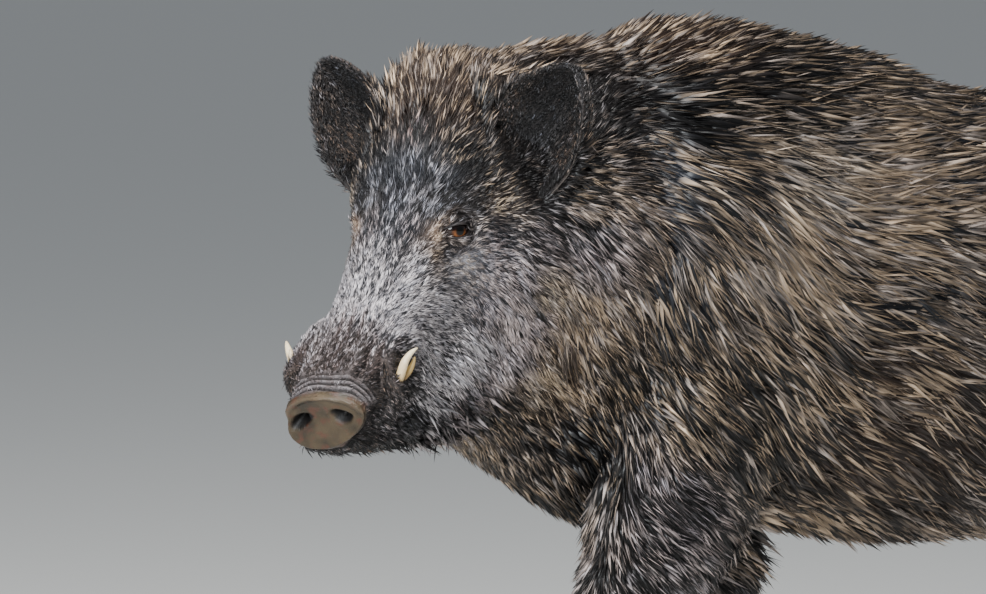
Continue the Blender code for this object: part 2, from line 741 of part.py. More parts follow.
def centre_on_origin():
    """Moves everything so that the middle of its bounds stands over the origin."""
    corners = np.array([v.co for obj in bpy.data.objects for v in obj.data.vertices])
    middle = (corners.min(axis=0) + corners.max(axis=0)) / 2
    for obj in bpy.data.objects:
        obj.data.transform(Matrix.Translation((-middle[0], -middle[1], 0)))
        obj.data.shade_smooth()
        obj.data.set_sharp_from_angle(angle=math.radians(38))


def main():
    clear_scene()
    body = flesh()
    legs = {}
    for pair, side in FEET:
        leg = copied(body, f"{pair}leg_{side}")
        carve(leg, leg_region(pair, side), "INTERSECT")
        legs[pair, side] = leg
        carve(body, leg_region(pair, side, GAP))
    head = copied(body, "head")
    carve(head, head_region(), "INTERSECT")
    carve(body, head_region(GAP))
    neck = copied(body, "neck")
    carve(neck, neck_region(), "INTERSECT")
    carve(body, neck_region(GAP))
    body.name = "trunk"
    add_tusks(head)
    add_disc(head)
    add_ears(head, neck)
    add_eyes(head)
    for (pair, side), leg in legs.items():
        add_feet(leg, pair, side)
    tail = add_object("tail", tail_mesh())
    carve(tail, swollen(body.data))
    centre_on_origin()


main()
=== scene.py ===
"""Wild boar: skin, coat, eyes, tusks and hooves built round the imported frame.

It is an add-on that is run as a script. Lengths are metres and angles radians where nothing else is said.
"""

import math

import bmesh
import bpy
import numpy as np
from bpy.props import FloatProperty, FloatVectorProperty, IntProperty, PointerProperty
from mathutils import Matrix, Vector, kdtree, noise


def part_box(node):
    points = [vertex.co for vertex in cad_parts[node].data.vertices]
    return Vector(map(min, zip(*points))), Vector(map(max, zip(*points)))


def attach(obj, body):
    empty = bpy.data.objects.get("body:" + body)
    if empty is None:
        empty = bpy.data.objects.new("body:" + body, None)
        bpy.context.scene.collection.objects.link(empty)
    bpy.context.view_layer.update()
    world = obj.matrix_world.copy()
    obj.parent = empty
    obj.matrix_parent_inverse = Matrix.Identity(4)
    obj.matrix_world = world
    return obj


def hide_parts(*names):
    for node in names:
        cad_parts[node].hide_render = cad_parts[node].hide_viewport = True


bl_info = {
    "name": "Wild Boar Coat",
    "version": (1, 0, 0),
    "blender": (4, 5, 0),
    "location": "View3D > Sidebar > Boar",
    "description": "Builds the skin, coat, eyes, tusks and hooves of a life-size wild boar",
    "category": "Object",
}

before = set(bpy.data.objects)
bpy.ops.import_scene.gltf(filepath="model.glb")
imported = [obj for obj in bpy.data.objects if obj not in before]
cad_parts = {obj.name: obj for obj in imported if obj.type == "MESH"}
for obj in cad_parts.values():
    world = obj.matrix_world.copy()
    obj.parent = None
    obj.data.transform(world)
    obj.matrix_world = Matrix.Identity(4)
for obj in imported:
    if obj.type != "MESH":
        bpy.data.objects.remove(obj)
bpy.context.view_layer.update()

SIDES = {"left": 1, "right": -1}
PAIRS = ("fore", "hind")
LEGS = [f"{pair}leg_{side}" for pair in PAIRS for side in SIDES]
FLESH = ["trunk", "neck", "head", "tail", "ear_left", "ear_right", "snout_disc", *LEGS]
MERGE = 0.00002  # joins the loose triangles of a copied node


# ---------------------------------------------------------------- places, all from the frame


def middle(node):
    """The middle of a node's box."""
    low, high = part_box(node)
    return (low + high) / 2


def head_axes(pitch):
    """The head's own axes at a point between the eyes: forward along the palate, left, and up."""
    left_eye, right_eye = middle("eye_left"), middle("eye_right")
    left = (left_eye - right_eye).normalized()
    level = left.cross(Vector((0, 0, 1)))
    ahead = Matrix.Rotation(math.radians(pitch), 3, left) @ level
    up = ahead.cross(left)
    made = Matrix((ahead, left, up)).transposed().to_4x4()
    made.translation = (left_eye + right_eye) / 2
    return made


HEAD_PITCH = 27.0  # degrees by which the palate points down
DISC_TILT = 11.0  # degrees by which the snout's disc leans back from square to it
DISC_ROLL = -5.0  # degrees
HEAD = head_axes(HEAD_PITCH)
TO_HEAD = HEAD.inverted()
EYE_RADIUS = (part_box("eye_left")[1].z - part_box("eye_left")[0].z) / 2
EYE_SIDE = (middle("eye_left") - middle("eye_right")).length / 2
GAZE = Vector((0.42, 0.90, 0.12)).normalized()  # of the left eye, in the head's axes
DISC_AHEAD = 0.2115  # of the point between the eyes
DISC_BELOW = 0.0934
DISC = (
    HEAD
    @ Matrix.Translation((DISC_AHEAD, 0, -DISC_BELOW))
    @ Matrix.Rotation(math.radians(DISC_TILT), 4, "Y")
    @ Matrix.Rotation(math.radians(DISC_ROLL), 4, "X")
)
BODY_MIDDLE = (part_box("hoof_fore_left_outer")[1].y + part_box("hoof_fore_right_outer")[0].y) / 2


def unit(rows):
    """Rows of vectors, each at length 1."""
    return rows / np.maximum(np.linalg.norm(rows, axis=1, keepdims=True), 1e-9)


def moved(points, matrix):
    """Rows of points through a 4 x 4 matrix."""
    return points @ np.array(matrix.to_3x3()).T + np.array(matrix.translation)


def ramp(value, low, high):
    """0 below low, 1 above high, and smooth between; high may be the lower one."""
    t = np.clip((value - low) / (high - low), 0, 1)
    return t * t * (3 - 2 * t)


def mound(distance, reach):
    """1 at the middle, falling to nothing at the reach."""
    t = np.clip(1 - (distance / reach) ** 2, 0, 1)
    return t * t


# ---------------------------------------------------------------- the lie, size and colour of the coat

# The colours of hairs, linear.
TONES = {
    "black": (0.007, 0.0065, 0.007),
    "slate": (0.013, 0.0145, 0.019),
    "umber": (0.026, 0.016, 0.012),
    "brown": (0.230, 0.150, 0.105),
    "tan": (0.520, 0.385, 0.265),
    "buff": (0.700, 0.550, 0.390),
    "straw": (0.600, 0.480, 0.370),
    "silver": (0.800, 0.745, 0.770),
    "steel": (0.340, 0.345, 0.400),
    "ash": (0.230, 0.230, 0.260),
    "mauve": (0.500, 0.415, 0.415),
    "dusk": (0.300, 0.200, 0.190),
}

# Kind of hair: its length, the height of its tip over the skin and its width, all in millimetres,
# and how many tufts there are to the square millimetre.
KINDS = {
    "nose": (4.5, 1.0, 0.34, 0.90),
    "muzzle": (9.0, 2.0, 0.35, 1.10),
    "brow": (6.5, 1.3, 0.36, 1.00),
    "face": (12.0, 3.0, 0.39, 0.64),
    "cheek": (20.0, 5.2, 0.47, 0.38),
    "jowl": (28.0, 8.0, 0.64, 0.26),
    "forehead": (16.0, 4.8, 0.44, 0.45),
    "crown": (26.0, 10.5, 0.46, 0.37),
    "ear": (7.0, 1.6, 0.48, 0.40),
    "rim": (5.5, 1.6, 0.42, 0.60),
    "neck": (52.0, 11.0, 0.54, 0.172),
    "mane": (42.0, 20.0, 0.58, 0.178),
    "shoulder": (64.0, 11.0, 0.55, 0.140),
    "flank": (66.0, 10.0, 0.56, 0.124),
    "belly": (64.0, 28.0, 0.74, 0.093),
    "throat": (44.0, 15.0, 0.66, 0.140),
    "rump": (58.0, 11.0, 0.94, 0.044),
    "thigh": (34.0, 7.0, 0.64, 0.102),
    "leg": (17.0, 4.0, 0.56, 0.142),
    "foot": (9.0, 2.2, 0.60, 0.215),
    "tail": (24.0, 5.0, 0.80, 0.180),
    "switch": (60.0, 8.0, 0.90, 0.240),
}

# On the head: place and lie in its axes (forward, left, up), kind, tip, root, share of pale tips.
# Those off the middle are repeated on the other side.
HEAD_GUIDES = (
    ((0.203, 0.000, -0.056), (-1.0, 0.0, 0.3), "nose", "mauve", "umber", 0.22),
    ((0.180, 0.000, -0.045), (-1.0, 0.0, 0.3), "nose", "dusk", "umber", 0.18),
    ((0.150, 0.000, -0.036), (-1.0, 0.0, 0.3), "nose", "dusk", "umber", 0.14),
    ((0.130, 0.000, -0.030), (-1.0, 0.0, 0.3), "muzzle", "dusk", "umber", 0.28),
    ((0.116, 0.018, -0.022), (-1.0, 0.1, 0.2), "muzzle", "silver", "slate", 0.70),
    ((0.138, 0.050, -0.046), (-1.0, 0.2, -0.4), "muzzle", "silver", "slate", 0.62),
    ((0.095, 0.000, -0.012), (-1.0, 0.0, 0.3), "muzzle", "silver", "slate", 0.62),
    ((0.060, 0.000, 0.010), (-1.0, 0.0, 0.4), "muzzle", "silver", "slate", 0.44),
    ((0.022, 0.000, 0.032), (-0.8, 0.0, 0.8), "face", "steel", "slate", 0.26),
    ((0.036, 0.024, 0.018), (-0.9, 0.2, 0.5), "face", "mauve", "slate", 0.26),
    ((-0.008, 0.012, 0.052), (-0.6, 0.25, 1.0), "forehead", "ash", "slate", 0.20),
    ((-0.040, 0.000, 0.085), (-0.7, 0.0, 1.0), "forehead", "dusk", "black", 0.16),
    ((-0.068, 0.014, 0.100), (-0.9, 0.3, 0.9), "crown", "tan", "umber", 0.20),
    ((-0.078, 0.034, 0.092), (-0.9, 0.4, 0.9), "crown", "tan", "umber", 0.30),
    ((-0.095, 0.000, 0.118), (-0.8, 0.0, 0.9), "crown", "tan", "umber", 0.42),
    ((-0.150, 0.000, 0.115), (-1.0, 0.0, 0.6), "crown", "tan", "umber", 0.46),
    ((-0.116, 0.040, 0.106), (-0.9, 0.4, 0.7), "crown", "tan", "umber", 0.52),
    ((-0.145, 0.066, 0.091), (-1.0, 0.5, 0.4), "crown", "tan", "umber", 0.48),
    # the snout's sides, lips and chin
    ((0.165, 0.026, -0.046), (-1.0, 0.0, 0.2), "nose", "silver", "umber", 0.42),
    ((0.160, 0.042, -0.052), (-1.0, 0.1, -0.1), "nose", "dusk", "umber", 0.20),
    ((0.180, 0.044, -0.085), (-1.0, 0.0, -0.5), "nose", "brown", "black", 0.15),
    ((0.163, 0.052, -0.070), (-0.8, 0.0, -0.7), "nose", "brown", "black", 0.30),
    ((0.165, 0.050, -0.105), (-0.8, 0.0, -0.8), "nose", "mauve", "black", 0.30),
    ((0.160, 0.020, -0.145), (-1.0, 0.0, -0.8), "muzzle", "brown", "black", 0.15),
    ((0.122, 0.054, -0.090), (-0.8, 0.1, -0.9), "muzzle", "silver", "black", 0.22),
    ((0.114, 0.048, -0.112), (-0.6, 0.0, -1.0), "cheek", "silver", "black", 0.66),
    ((0.098, 0.048, -0.142), (-0.5, 0.0, -1.0), "cheek", "silver", "black", 0.58),
    ((0.130, 0.048, -0.140), (-0.8, 0.0, -1.0), "muzzle", "ash", "black", 0.25),
    ((0.095, 0.040, -0.168), (-0.8, 0.0, -1.0), "cheek", "mauve", "black", 0.32),
    ((0.070, 0.052, -0.152), (-0.6, 0.0, -1.0), "cheek", "mauve", "black", 0.40),
    ((0.068, 0.057, -0.122), (-0.5, 0.0, -1.0), "cheek", "silver", "black", 0.76),
    ((0.020, 0.060, -0.182), (-0.7, 0.0, -1.0), "cheek", "tan", "black", 0.35),
    ((0.000, 0.000, -0.215), (-1.0, 0.0, -0.9), "cheek", "tan", "black", 0.50),
    # the bridge's sides and the cheeks
    ((0.120, 0.046, -0.046), (-1.0, 0.2, -0.5), "muzzle", "silver", "slate", 0.75),
    ((0.104, 0.052, -0.070), (-0.6, 0.1, -1.0), "muzzle", "silver", "slate", 0.72),
    ((0.088, 0.054, -0.105), (-0.5, 0.0, -1.0), "cheek", "silver", "black", 0.68),
    ((0.090, 0.036, -0.026), (-1.0, 0.2, -0.2), "muzzle", "silver", "slate", 0.70),
    ((0.060, 0.040, -0.010), (-1.0, 0.3, -0.1), "muzzle", "silver", "slate", 0.58),
    ((0.062, 0.056, -0.055), (-1.0, 0.1, -0.9), "face", "silver", "slate", 0.62),
    ((0.040, 0.070, -0.105), (-0.5, 0.0, -1.0), "cheek", "silver", "black", 0.60),
    ((0.030, 0.074, -0.070), (-0.8, 0.0, -1.0), "face", "mauve", "slate", 0.60),
    ((0.040, 0.066, -0.140), (-0.5, 0.0, -1.0), "cheek", "mauve", "black", 0.50),
    # round the eye
    ((0.024, 0.048, 0.012), (-0.8, 0.5, 0.2), "brow", "tan", "brown", 0.66),
    ((0.036, 0.050, -0.006), (-1.0, 0.3, -0.2), "brow", "tan", "umber", 0.36),
    ((0.026, 0.058, -0.010), (-1.0, 0.2, -0.8), "brow", "ash", "slate", 0.40),
    ((0.015, 0.070, -0.022), (-0.9, 0.2, -1.0), "brow", "straw", "ash", 0.58),
    ((0.004, 0.078, -0.034), (-0.8, 0.1, -1.0), "face", "mauve", "slate", 0.60),
    ((0.014, 0.038, 0.028), (-0.8, 0.5, 0.7), "face", "ash", "black", 0.40),
    ((0.000, 0.052, 0.029), (-0.9, 0.6, 0.4), "brow", "ash", "black", 0.12),
    ((-0.006, 0.060, 0.025), (-0.9, 0.6, 0.3), "brow", "ash", "black", 0.12),
    ((-0.010, 0.069, 0.016), (-1.0, 0.5, -0.1), "brow", "ash", "black", 0.12),
    ((-0.016, 0.080, -0.016), (-0.9, 0.3, -0.8), "face", "mauve", "slate", 0.36),
    ((-0.012, 0.042, 0.046), (-0.7, 0.5, 0.8), "forehead", "ash", "slate", 0.30),
    ((-0.030, 0.052, 0.058), (-0.6, 0.7, 0.8), "forehead", "tan", "black", 0.16),
    ((-0.040, 0.076, 0.036), (-0.9, 0.8, 0.3), "forehead", "tan", "black", 0.12),
    ((-0.030, 0.081, 0.007), (-1.0, 0.6, 0.0), "face", "buff", "umber", 0.54),
    ((-0.072, 0.055, 0.088), (-0.7, 0.6, 0.7), "crown", "tan", "black", 0.26),
    # behind the face
    ((-0.070, 0.114, 0.002), (-1.0, 0.2, -0.8), "face", "umber", "black", 0.05),
    ((-0.060, 0.102, 0.014), (-1.0, 0.4, -0.4), "face", "umber", "black", 0.05),
    ((-0.100, 0.136, -0.010), (-0.8, 0.1, -1.0), "jowl", "tan", "black", 0.50),
    ((-0.050, 0.104, -0.034), (-0.6, 0.1, -1.0), "cheek", "mauve", "black", 0.40),
    ((-0.012, 0.094, -0.060), (-0.7, 0.0, -1.0), "cheek", "mauve", "black", 0.52),
    ((-0.008, 0.110, -0.095), (-0.5, 0.0, -1.0), "cheek", "mauve", "black", 0.60),
    ((-0.024, 0.119, -0.078), (-0.5, 0.0, -1.0), "cheek", "buff", "umber", 0.62),
    ((0.012, 0.095, -0.122), (-0.5, 0.0, -1.0), "cheek", "mauve", "black", 0.64),
    ((-0.002, 0.104, -0.162), (-0.5, 0.0, -1.0), "cheek", "buff", "umber", 0.64),
    ((-0.050, 0.146, -0.172), (-0.4, 0.0, -1.0), "jowl", "tan", "black", 0.34),
    ((-0.020, 0.116, -0.235), (-0.6, 0.0, -1.0), "throat", "tan", "black", 0.14),
    ((-0.012, 0.115, -0.130), (-0.4, 0.0, -1.0), "cheek", "tan", "umber", 0.54),
    ((-0.090, 0.115, -0.060), (-0.2, 0.0, -1.0), "jowl", "mauve", "black", 0.45),
    ((-0.060, 0.125, -0.110), (-0.2, 0.0, -1.0), "jowl", "tan", "umber", 0.56),
    ((-0.040, 0.098, -0.165), (-0.4, 0.0, -1.0), "jowl", "tan", "umber", 0.52),
)

# On the body: share of the trunk's length from its rump, degrees round from the top,
# lie (ahead, outwards, up), kind, tip, root, share of pale tips.
BODY_GUIDES = (
    # the crest
    (1.02, 0, (-1.0, 0.0, 0.6), "mane", "tan", "umber", 0.22),
    (0.88, 0, (-1.0, 0.0, 0.6), "mane", "tan", "umber", 0.22),
    (0.70, 0, (-1.0, 0.0, 0.4), "mane", "tan", "black", 0.22),
    (0.50, 0, (-1.0, 0.0, 0.1), "mane", "tan", "black", 0.28),
    (0.28, 0, (-1.0, 0.0, 0.0), "rump", "tan", "black", 0.50),
    (0.08, 0, (-1.0, 0.0, -0.5), "rump", "tan", "black", 0.50),
    # beside it
    (1.02, 28, (-1.0, 0.1, 0.2), "neck", "tan", "umber", 0.46),
    (0.88, 24, (-1.0, 0.1, 0.1), "mane", "tan", "umber", 0.26),
    (0.90, 40, (-1.0, 0.1, -0.2), "shoulder", "tan", "black", 0.22),
    (0.79, 38, (-1.0, 0.0, -0.3), "shoulder", "tan", "black", 0.28),
    (0.68, 42, (-1.0, 0.0, -0.2), "shoulder", "tan", "slate", 0.52),
    (0.45, 42, (-1.0, 0.0, -0.2), "flank", "tan", "slate", 0.42),
    (0.18, 45, (-1.0, 0.0, -0.4), "rump", "tan", "black", 0.50),
    # the neck, shoulder and flank
    (1.01, 56, (-1.0, 0.1, -0.3), "neck", "tan", "black", 0.50),
    (1.02, 76, (-0.5, 0.1, -1.0), "neck", "mauve", "black", 0.44),
    (1.02, 98, (-0.1, 0.0, -1.0), "neck", "tan", "umber", 0.36),
    (0.91, 62, (-0.9, 0.0, -0.5), "shoulder", "tan", "slate", 0.44),
    (0.93, 85, (-0.4, 0.0, -1.0), "shoulder", "tan", "slate", 0.42),
    (0.92, 108, (-0.35, 0.0, -1.0), "shoulder", "tan", "black", 0.34),
    (0.79, 60, (-1.0, 0.0, -0.5), "shoulder", "straw", "slate", 0.54),
    (0.81, 74, (-0.7, 0.0, -0.8), "shoulder", "tan", "slate", 0.60),
    (0.80, 104, (-0.7, 0.0, -0.8), "shoulder", "tan", "black", 0.38),
    (0.71, 70, (-1.0, 0.0, -0.1), "flank", "tan", "slate", 0.72),
    (0.60, 62, (-1.0, 0.0, 0.0), "flank", "tan", "slate", 0.50),
    (0.70, 90, (-1.0, 0.0, -0.35), "flank", "tan", "slate", 0.40),
    (0.70, 106, (-1.0, 0.0, -0.45), "flank", "tan", "umber", 0.42),
    (0.55, 85, (-1.0, 0.0, -0.25), "flank", "tan", "slate", 0.42),
    (0.42, 85, (-1.0, 0.0, -0.3), "flank", "tan", "umber", 0.40),
    (0.16, 85, (-0.8, 0.0, -0.7), "thigh", "tan", "black", 0.45),
    # the chest and belly
    (0.98, 125, (-0.7, 0.0, -0.9), "throat", "tan", "black", 0.16),
    (0.84, 122, (-0.7, 0.0, -0.8), "thigh", "tan", "black", 0.30),
    (0.95, 128, (-0.6, 0.0, -0.9), "thigh", "mauve", "black", 0.42),
    (0.70, 124, (-1.0, 0.0, -0.6), "flank", "tan", "umber", 0.24),
    (0.45, 122, (-1.0, 0.0, -0.4), "flank", "tan", "umber", 0.26),
    (1.02, 170, (-0.6, 0.0, -1.0), "throat", "tan", "black", 0.25),
    (0.75, 165, (-0.8, 0.0, -1.0), "belly", "tan", "black", 0.35),
    (0.45, 165, (-0.8, 0.0, -1.0), "belly", "tan", "black", 0.35),
    (0.22, 150, (-0.6, 0.0, -0.8), "thigh", "brown", "black", 0.30),
)

# On each leg: share of its height from the sole, lie (ahead, outwards, up), kind, tip, root,
# share of pale tips.
LEG_GUIDES = (
    (0.10, (-0.1, 0.0, -1.0), "foot", "ash", "black", 0.15),
    (0.25, (-0.3, 0.0, -1.0), "leg", "ash", "black", 0.18),
    (0.50, (-0.6, 0.0, -0.9), "leg", "steel", "black", 0.26),
    (0.72, (-0.9, 0.0, -0.6), "thigh", "mauve", "black", 0.38),
    (0.92, (-0.7, 0.0, -0.9), "thigh", "tan", "black", 0.42),
)

# The tail's guides: share of its height, kind.
TAIL_GUIDES = ((0.95, "rump"), (0.75, "tail"), (0.45, "tail"), (0.15, "switch"))

# The left ear's root and tip and the way its hollow faces, in the head's axes.
EAR_ROOT = (-0.092, 0.080, 0.030)
EAR_TIP = (-0.128, 0.149, 0.108)
EAR_FACING = (0.70, 0.58, 0.36)
EAR_BACK = 0.065  # guides for its back are sought this far behind the line from root to tip
EAR_FRONT = 0.022  # and those for its front
EAR_HALF = 0.04  # half its width
LEG_HALF = 0.03

FACING_REACH = 0.05  # how far apart two places count as being for each unit between their normals
BLUR = 0.00012  # square of the distance within which guides blend
BATCH = 20000  # points combed at a time


def guide_rows():
    """Every guide as (place, lie, kind, tip, root, pale), in the frame's axes."""
    rows = []
    turn = HEAD.to_3x3()
    for place, lie, *rest in HEAD_GUIDES:
        for sign in (1, -1) if place[1] else (1,):
            rows.append((HEAD @ sided(place, sign), turn @ sided(lie, sign), *rest))
    low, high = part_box("trunk")
    half = Vector((0, (high.y - low.y) / 2, (high.z - low.z) / 2))
    for share, around, lie, *rest in BODY_GUIDES:
        for sign in (1, -1) if 0 < around < 180 else (1,):
            angle = math.radians(around)
            there = Vector((low.x + (high.x - low.x) * share, BODY_MIDDLE, (low.z + high.z) / 2))
            there += Vector((0, half.y * math.sin(angle) * sign, half.z * math.cos(angle)))
            rows.append((there, sided(lie, sign), *rest))
    for leg in LEGS:
        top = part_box(leg)[1].z
        centre = middle(leg)
        sole = middle(f"hoof_{leg.replace('leg', '')}_outer").x
        for share, lie, *rest in LEG_GUIDES:
            x = sole + (centre.x - sole) * min(share * 1.4, 1)
            for side in (-LEG_HALF, LEG_HALF):
                rows.append((Vector((x, centre.y + side, top * share)), Vector(lie), *rest))
    low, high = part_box("tail")
    for share, kind in TAIL_GUIDES:
        there = Vector((low.x + 0.01, BODY_MIDDLE, low.z + (high.z - low.z) * share))
        rows.append((there, Vector((-0.1, 0, -1)), kind, "brown", "black", 0.35))
    for sign in SIDES.values():
        rows += ear_guides(sign)
    return rows


def sided(place, sign):
    """A place or a way given for the left side, as a vector for the side of that sign."""
    return Vector((place[0], place[1] * sign, place[2]))


def ear_guides(sign):
    """Hair on an ear lies from its root to its tip, and stands out along its edge."""
    root = HEAD @ sided(EAR_ROOT, sign)
    tip = HEAD @ sided(EAR_TIP, sign)
    along = (tip - root).normalized()
    into = HEAD.to_3x3() @ sided(EAR_FACING, sign).normalized()
    rows = []
    for share in (0.25, 0.5, 0.75):
        place = root.lerp(tip, share)
        rows.append((place - into * EAR_BACK, along, "ear", "ash", "black", 0.04))
        rows.append((place - into * EAR_FRONT, along, "ear", "umber", "black", 0.15))
    across = along.cross(into)
    for way in (-1, 1):
        for share in (0.3, 0.7):
            place = root.lerp(tip, share) + across * way * EAR_HALF
            rows.append((place, along + across * way * 0.3, "rim", "brown", "black", 0.16))
    rows.append((tip, along, "rim", "ash", "black", 0.16))
    return rows


class Comb:
    """The guides as arrays, and the fields that they give at any points of the skin."""

    def __init__(self, points, normals):
        tree = kdtree.KDTree(len(points))
        for i, point in enumerate(points):
            tree.insert(point, i)
        tree.balance()
        places, lies, sizes, tips, roots = [], [], [], [], []
        for place, lie, kind, tip, root, pale in guide_rows():
            nearest = tree.find(place)[1]
            places.append(np.r_[points[nearest], normals[nearest] * FACING_REACH])
            lies.append(lie.normalized())
            length, rise, girth, thick = KINDS[kind]
            sizes.append((length / 1000, rise / 1000, girth / 1000, thick, pale))
            tips.append(TONES[tip])
            roots.append(TONES[root])
        self.places = np.array(places)
        self.values = np.hstack([np.array(v, float) for v in (lies, sizes, tips, roots)])

    def at(self, points, normals):
        """Lies (not yet laid flat), sizes, tip tones and root tones at these points."""
        out = np.empty((len(points), self.values.shape[1]))
        for start in range(0, len(points), BATCH):
            rows = slice(start, start + BATCH)
            here = np.hstack([points[rows], normals[rows] * FACING_REACH])
            apart = ((here[:, None, :] - self.places[None, :, :]) ** 2).sum(axis=2)
            weight = 1 / (apart + BLUR) ** 2
            out[rows] = weight @ self.values / weight.sum(axis=1, keepdims=True)
        return out[:, 0:3], out[:, 3:8], out[:, 8:11], out[:, 11:14]


# ---------------------------------------------------------------- the skin

BRIDGE = 0.0008  # the nodes swell by this much, to close the cuts between them
GRAIN = 0.0027  # of the grid on which the skin is joined
SKIN_TRIANGLES = 150000
DEPTH_SHARE = 0.85  # of the hair's height by which the skin lies inside the frame
THIN_DEPTH = 0.0011  # at most, on the ears and the disc
SOLE_DEPTH = 0.0015  # at most, next to the hooves
SOLE_HEIGHTS = (0.05, 0.10)  # over which the coat's full depth is reached
THIN_PARTS = {"ear_left": 0.003, "ear_right": 0.003, "snout_disc": 0.006}  # margin round each box
SMOOTHING = (5, 14, 40)  # rounds on the thin parts, then on the head too, then on the body
LOOSE_BODY = 0.55  # weight by which the body's triangles are merged
LOOSE_FACE = 0.06  # and the face's


def arrays(mesh):
    """A mesh's vertices, normals and edges as arrays."""
    count = len(mesh.vertices)
    points, normals = np.empty(count * 3), np.empty(count * 3)
    mesh.vertices.foreach_get("co", points)
    mesh.vertex_normals.foreach_get("vector", normals)
    edges = np.empty(len(mesh.edges) * 2, int)
    mesh.edges.foreach_get("vertices", edges)
    return points.reshape(-1, 3), normals.reshape(-1, 3), edges.reshape(-1, 2)


def place_points(mesh, points):
    """Moves a mesh's vertices to these points."""
    mesh.vertices.foreach_set("co", points.ravel())
    mesh.update()


def spread_out(values, edges, rounds, strength=0.5):
    """Values at vertices, evened out along the edges."""
    count = len(values)
    ends, others = np.r_[edges[:, 0], edges[:, 1]], np.r_[edges[:, 1], edges[:, 0]]
    valence = np.maximum(np.bincount(ends, minlength=count), 1)[:, None]
    for _ in range(rounds):
        mean = [np.bincount(ends, column[others], count) for column in values.T]
        values = values + (np.array(mean).T / valence - values) * strength
    return values


def settled(obj):
    """The object with its modifiers' result as its mesh."""
    graph = bpy.context.evaluated_depsgraph_get()
    mesh = bpy.data.meshes.new_from_object(obj.evaluated_get(graph))
    old = obj.data
    obj.modifiers.clear()
    obj.data = mesh
    bpy.data.meshes.remove(old)
    return obj


def new_object(name, mesh, material=None):
    """An object in the scene, with one material if it is given."""
    obj = bpy.data.objects.new(name, mesh)
    bpy.context.scene.collection.objects.link(obj)
    if material:
        mesh.materials.clear()
        mesh.materials.append(material)
    return obj


def welded(node):
    """A copy of a node's mesh as a bmesh, with its loose triangles joined."""
    shape = bmesh.new()
    shape.from_mesh(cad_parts[node].data)
    bmesh.ops.remove_doubles(shape, verts=shape.verts, dist=MERGE)
    shape.normal_update()
    return shape


def joined_flesh():
    """All the nodes of flesh as one closed surface, on a fine grid."""
    whole = bmesh.new()
    for node in FLESH:
        piece = welded(node)
        for vertex in piece.verts:
            vertex.co += vertex.normal * BRIDGE
        mesh = bpy.data.meshes.new("piece")
        piece.to_mesh(mesh)
        piece.free()
        whole.from_mesh(mesh)
        bpy.data.meshes.remove(mesh)
    mesh = bpy.data.meshes.new("skin")
    whole.to_mesh(mesh)
    whole.free()
    obj = new_object("skin", mesh)
    join = obj.modifiers.new("join", "REMESH")
    join.mode = "VOXEL"
    join.voxel_size = GRAIN
    return settled(obj)


def head_weight(points):
    """1 on the head and its ears, falling to 0 behind them."""
    near = moved(points, TO_HEAD)
    return ramp(near[:, 0], -0.19, -0.13) * ramp(points[:, 2], 0.44, 0.50)


def thin_part(points):
    """1 on the ears and on the snout's disc, which too much smoothing would blunt."""
    out = np.zeros(len(points))
    for node, margin in THIN_PARTS.items():
        low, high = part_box(node)
        inside = (points > np.array(low) - margin) & (points < np.array(high) + margin)
        out = np.maximum(out, inside.all(axis=1))
    return out


def soften(obj):
    """Takes the facets out of the surface, least on the thin parts."""
    points, _, edges = arrays(obj.data)
    thin = thin_part(points)[:, None]
    face = head_weight(points)[:, None]
    few, more, most = SMOOTHING
    light = spread_out(points, edges, few)
    medium = spread_out(light, edges, more)
    heavy = spread_out(medium, edges, most)
    body = medium * face + heavy * (1 - face)
    place_points(obj.data, light * thin + body * (1 - thin))


def sink(obj, comb):
    """Moves the skin inside the frame by the depth of the coat."""
    points, normals, edges = arrays(obj.data)
    rise = comb.at(points, normals)[1][:, 1:2]
    depth = spread_out(rise * DEPTH_SHARE, edges, 12)
    thin = thin_part(points)[:, None]
    depth = depth * (1 - thin) + np.minimum(depth, THIN_DEPTH) * thin
    sole = ramp(points[:, 2:3], *SOLE_HEIGHTS)
    depth = depth * sole + np.minimum(depth, SOLE_DEPTH) * (1 - sole)
    way = unit(spread_out(normals, edges, 10) * (1 - thin) + normals * thin)
    place_points(obj.data, spread_out(points - way * depth, edges, 2))


def thin_out(obj, triangles):
    """Leaves that many triangles, closest together on the head."""
    points, _, _ = arrays(obj.data)
    share = head_weight(points)
    group = obj.vertex_groups.new(name="loose")
    for chosen, weight in ((share < 0.5, LOOSE_BODY), (share >= 0.5, LOOSE_FACE)):
        group.add(np.nonzero(chosen)[0].tolist(), weight, "REPLACE")
    thin = obj.modifiers.new("thin", "DECIMATE")
    thin.ratio = triangles / sum(len(face.vertices) - 2 for face in obj.data.polygons)
    thin.vertex_group = "loose"
    thin.use_collapse_triangulate = True
    settled(obj)
    obj.vertex_groups.clear()


# ---------------------------------------------------------------- folds of the face


def refine(obj):
    """Halves the edges round the snout's disc and the eyes, and once more over the wrinkles."""
    near = [(DISC @ Vector((-0.012, 0, 0)), 0.060)]
    near += [(middle(f"eye_{side}"), 0.036) for side in SIDES]
    wrinkles = [(DISC @ Vector((-0.016, side, 0.026)), 0.021) for side in (-0.026, 0.0, 0.026)]
    for places in (near, wrinkles):
        shape = bmesh.new()
        shape.from_mesh(obj.data)
        chosen = []
        for edge in shape.edges:
            place = (edge.verts[0].co + edge.verts[1].co) / 2
            if any((place - centre).length < reach for centre, reach in places):
                chosen.append(edge)
        bmesh.ops.subdivide_edges(shape, edges=chosen, cuts=1, use_grid_fill=True)
        bmesh.ops.triangulate(shape, faces=shape.faces)
        shape.to_mesh(obj.data)
        shape.free()


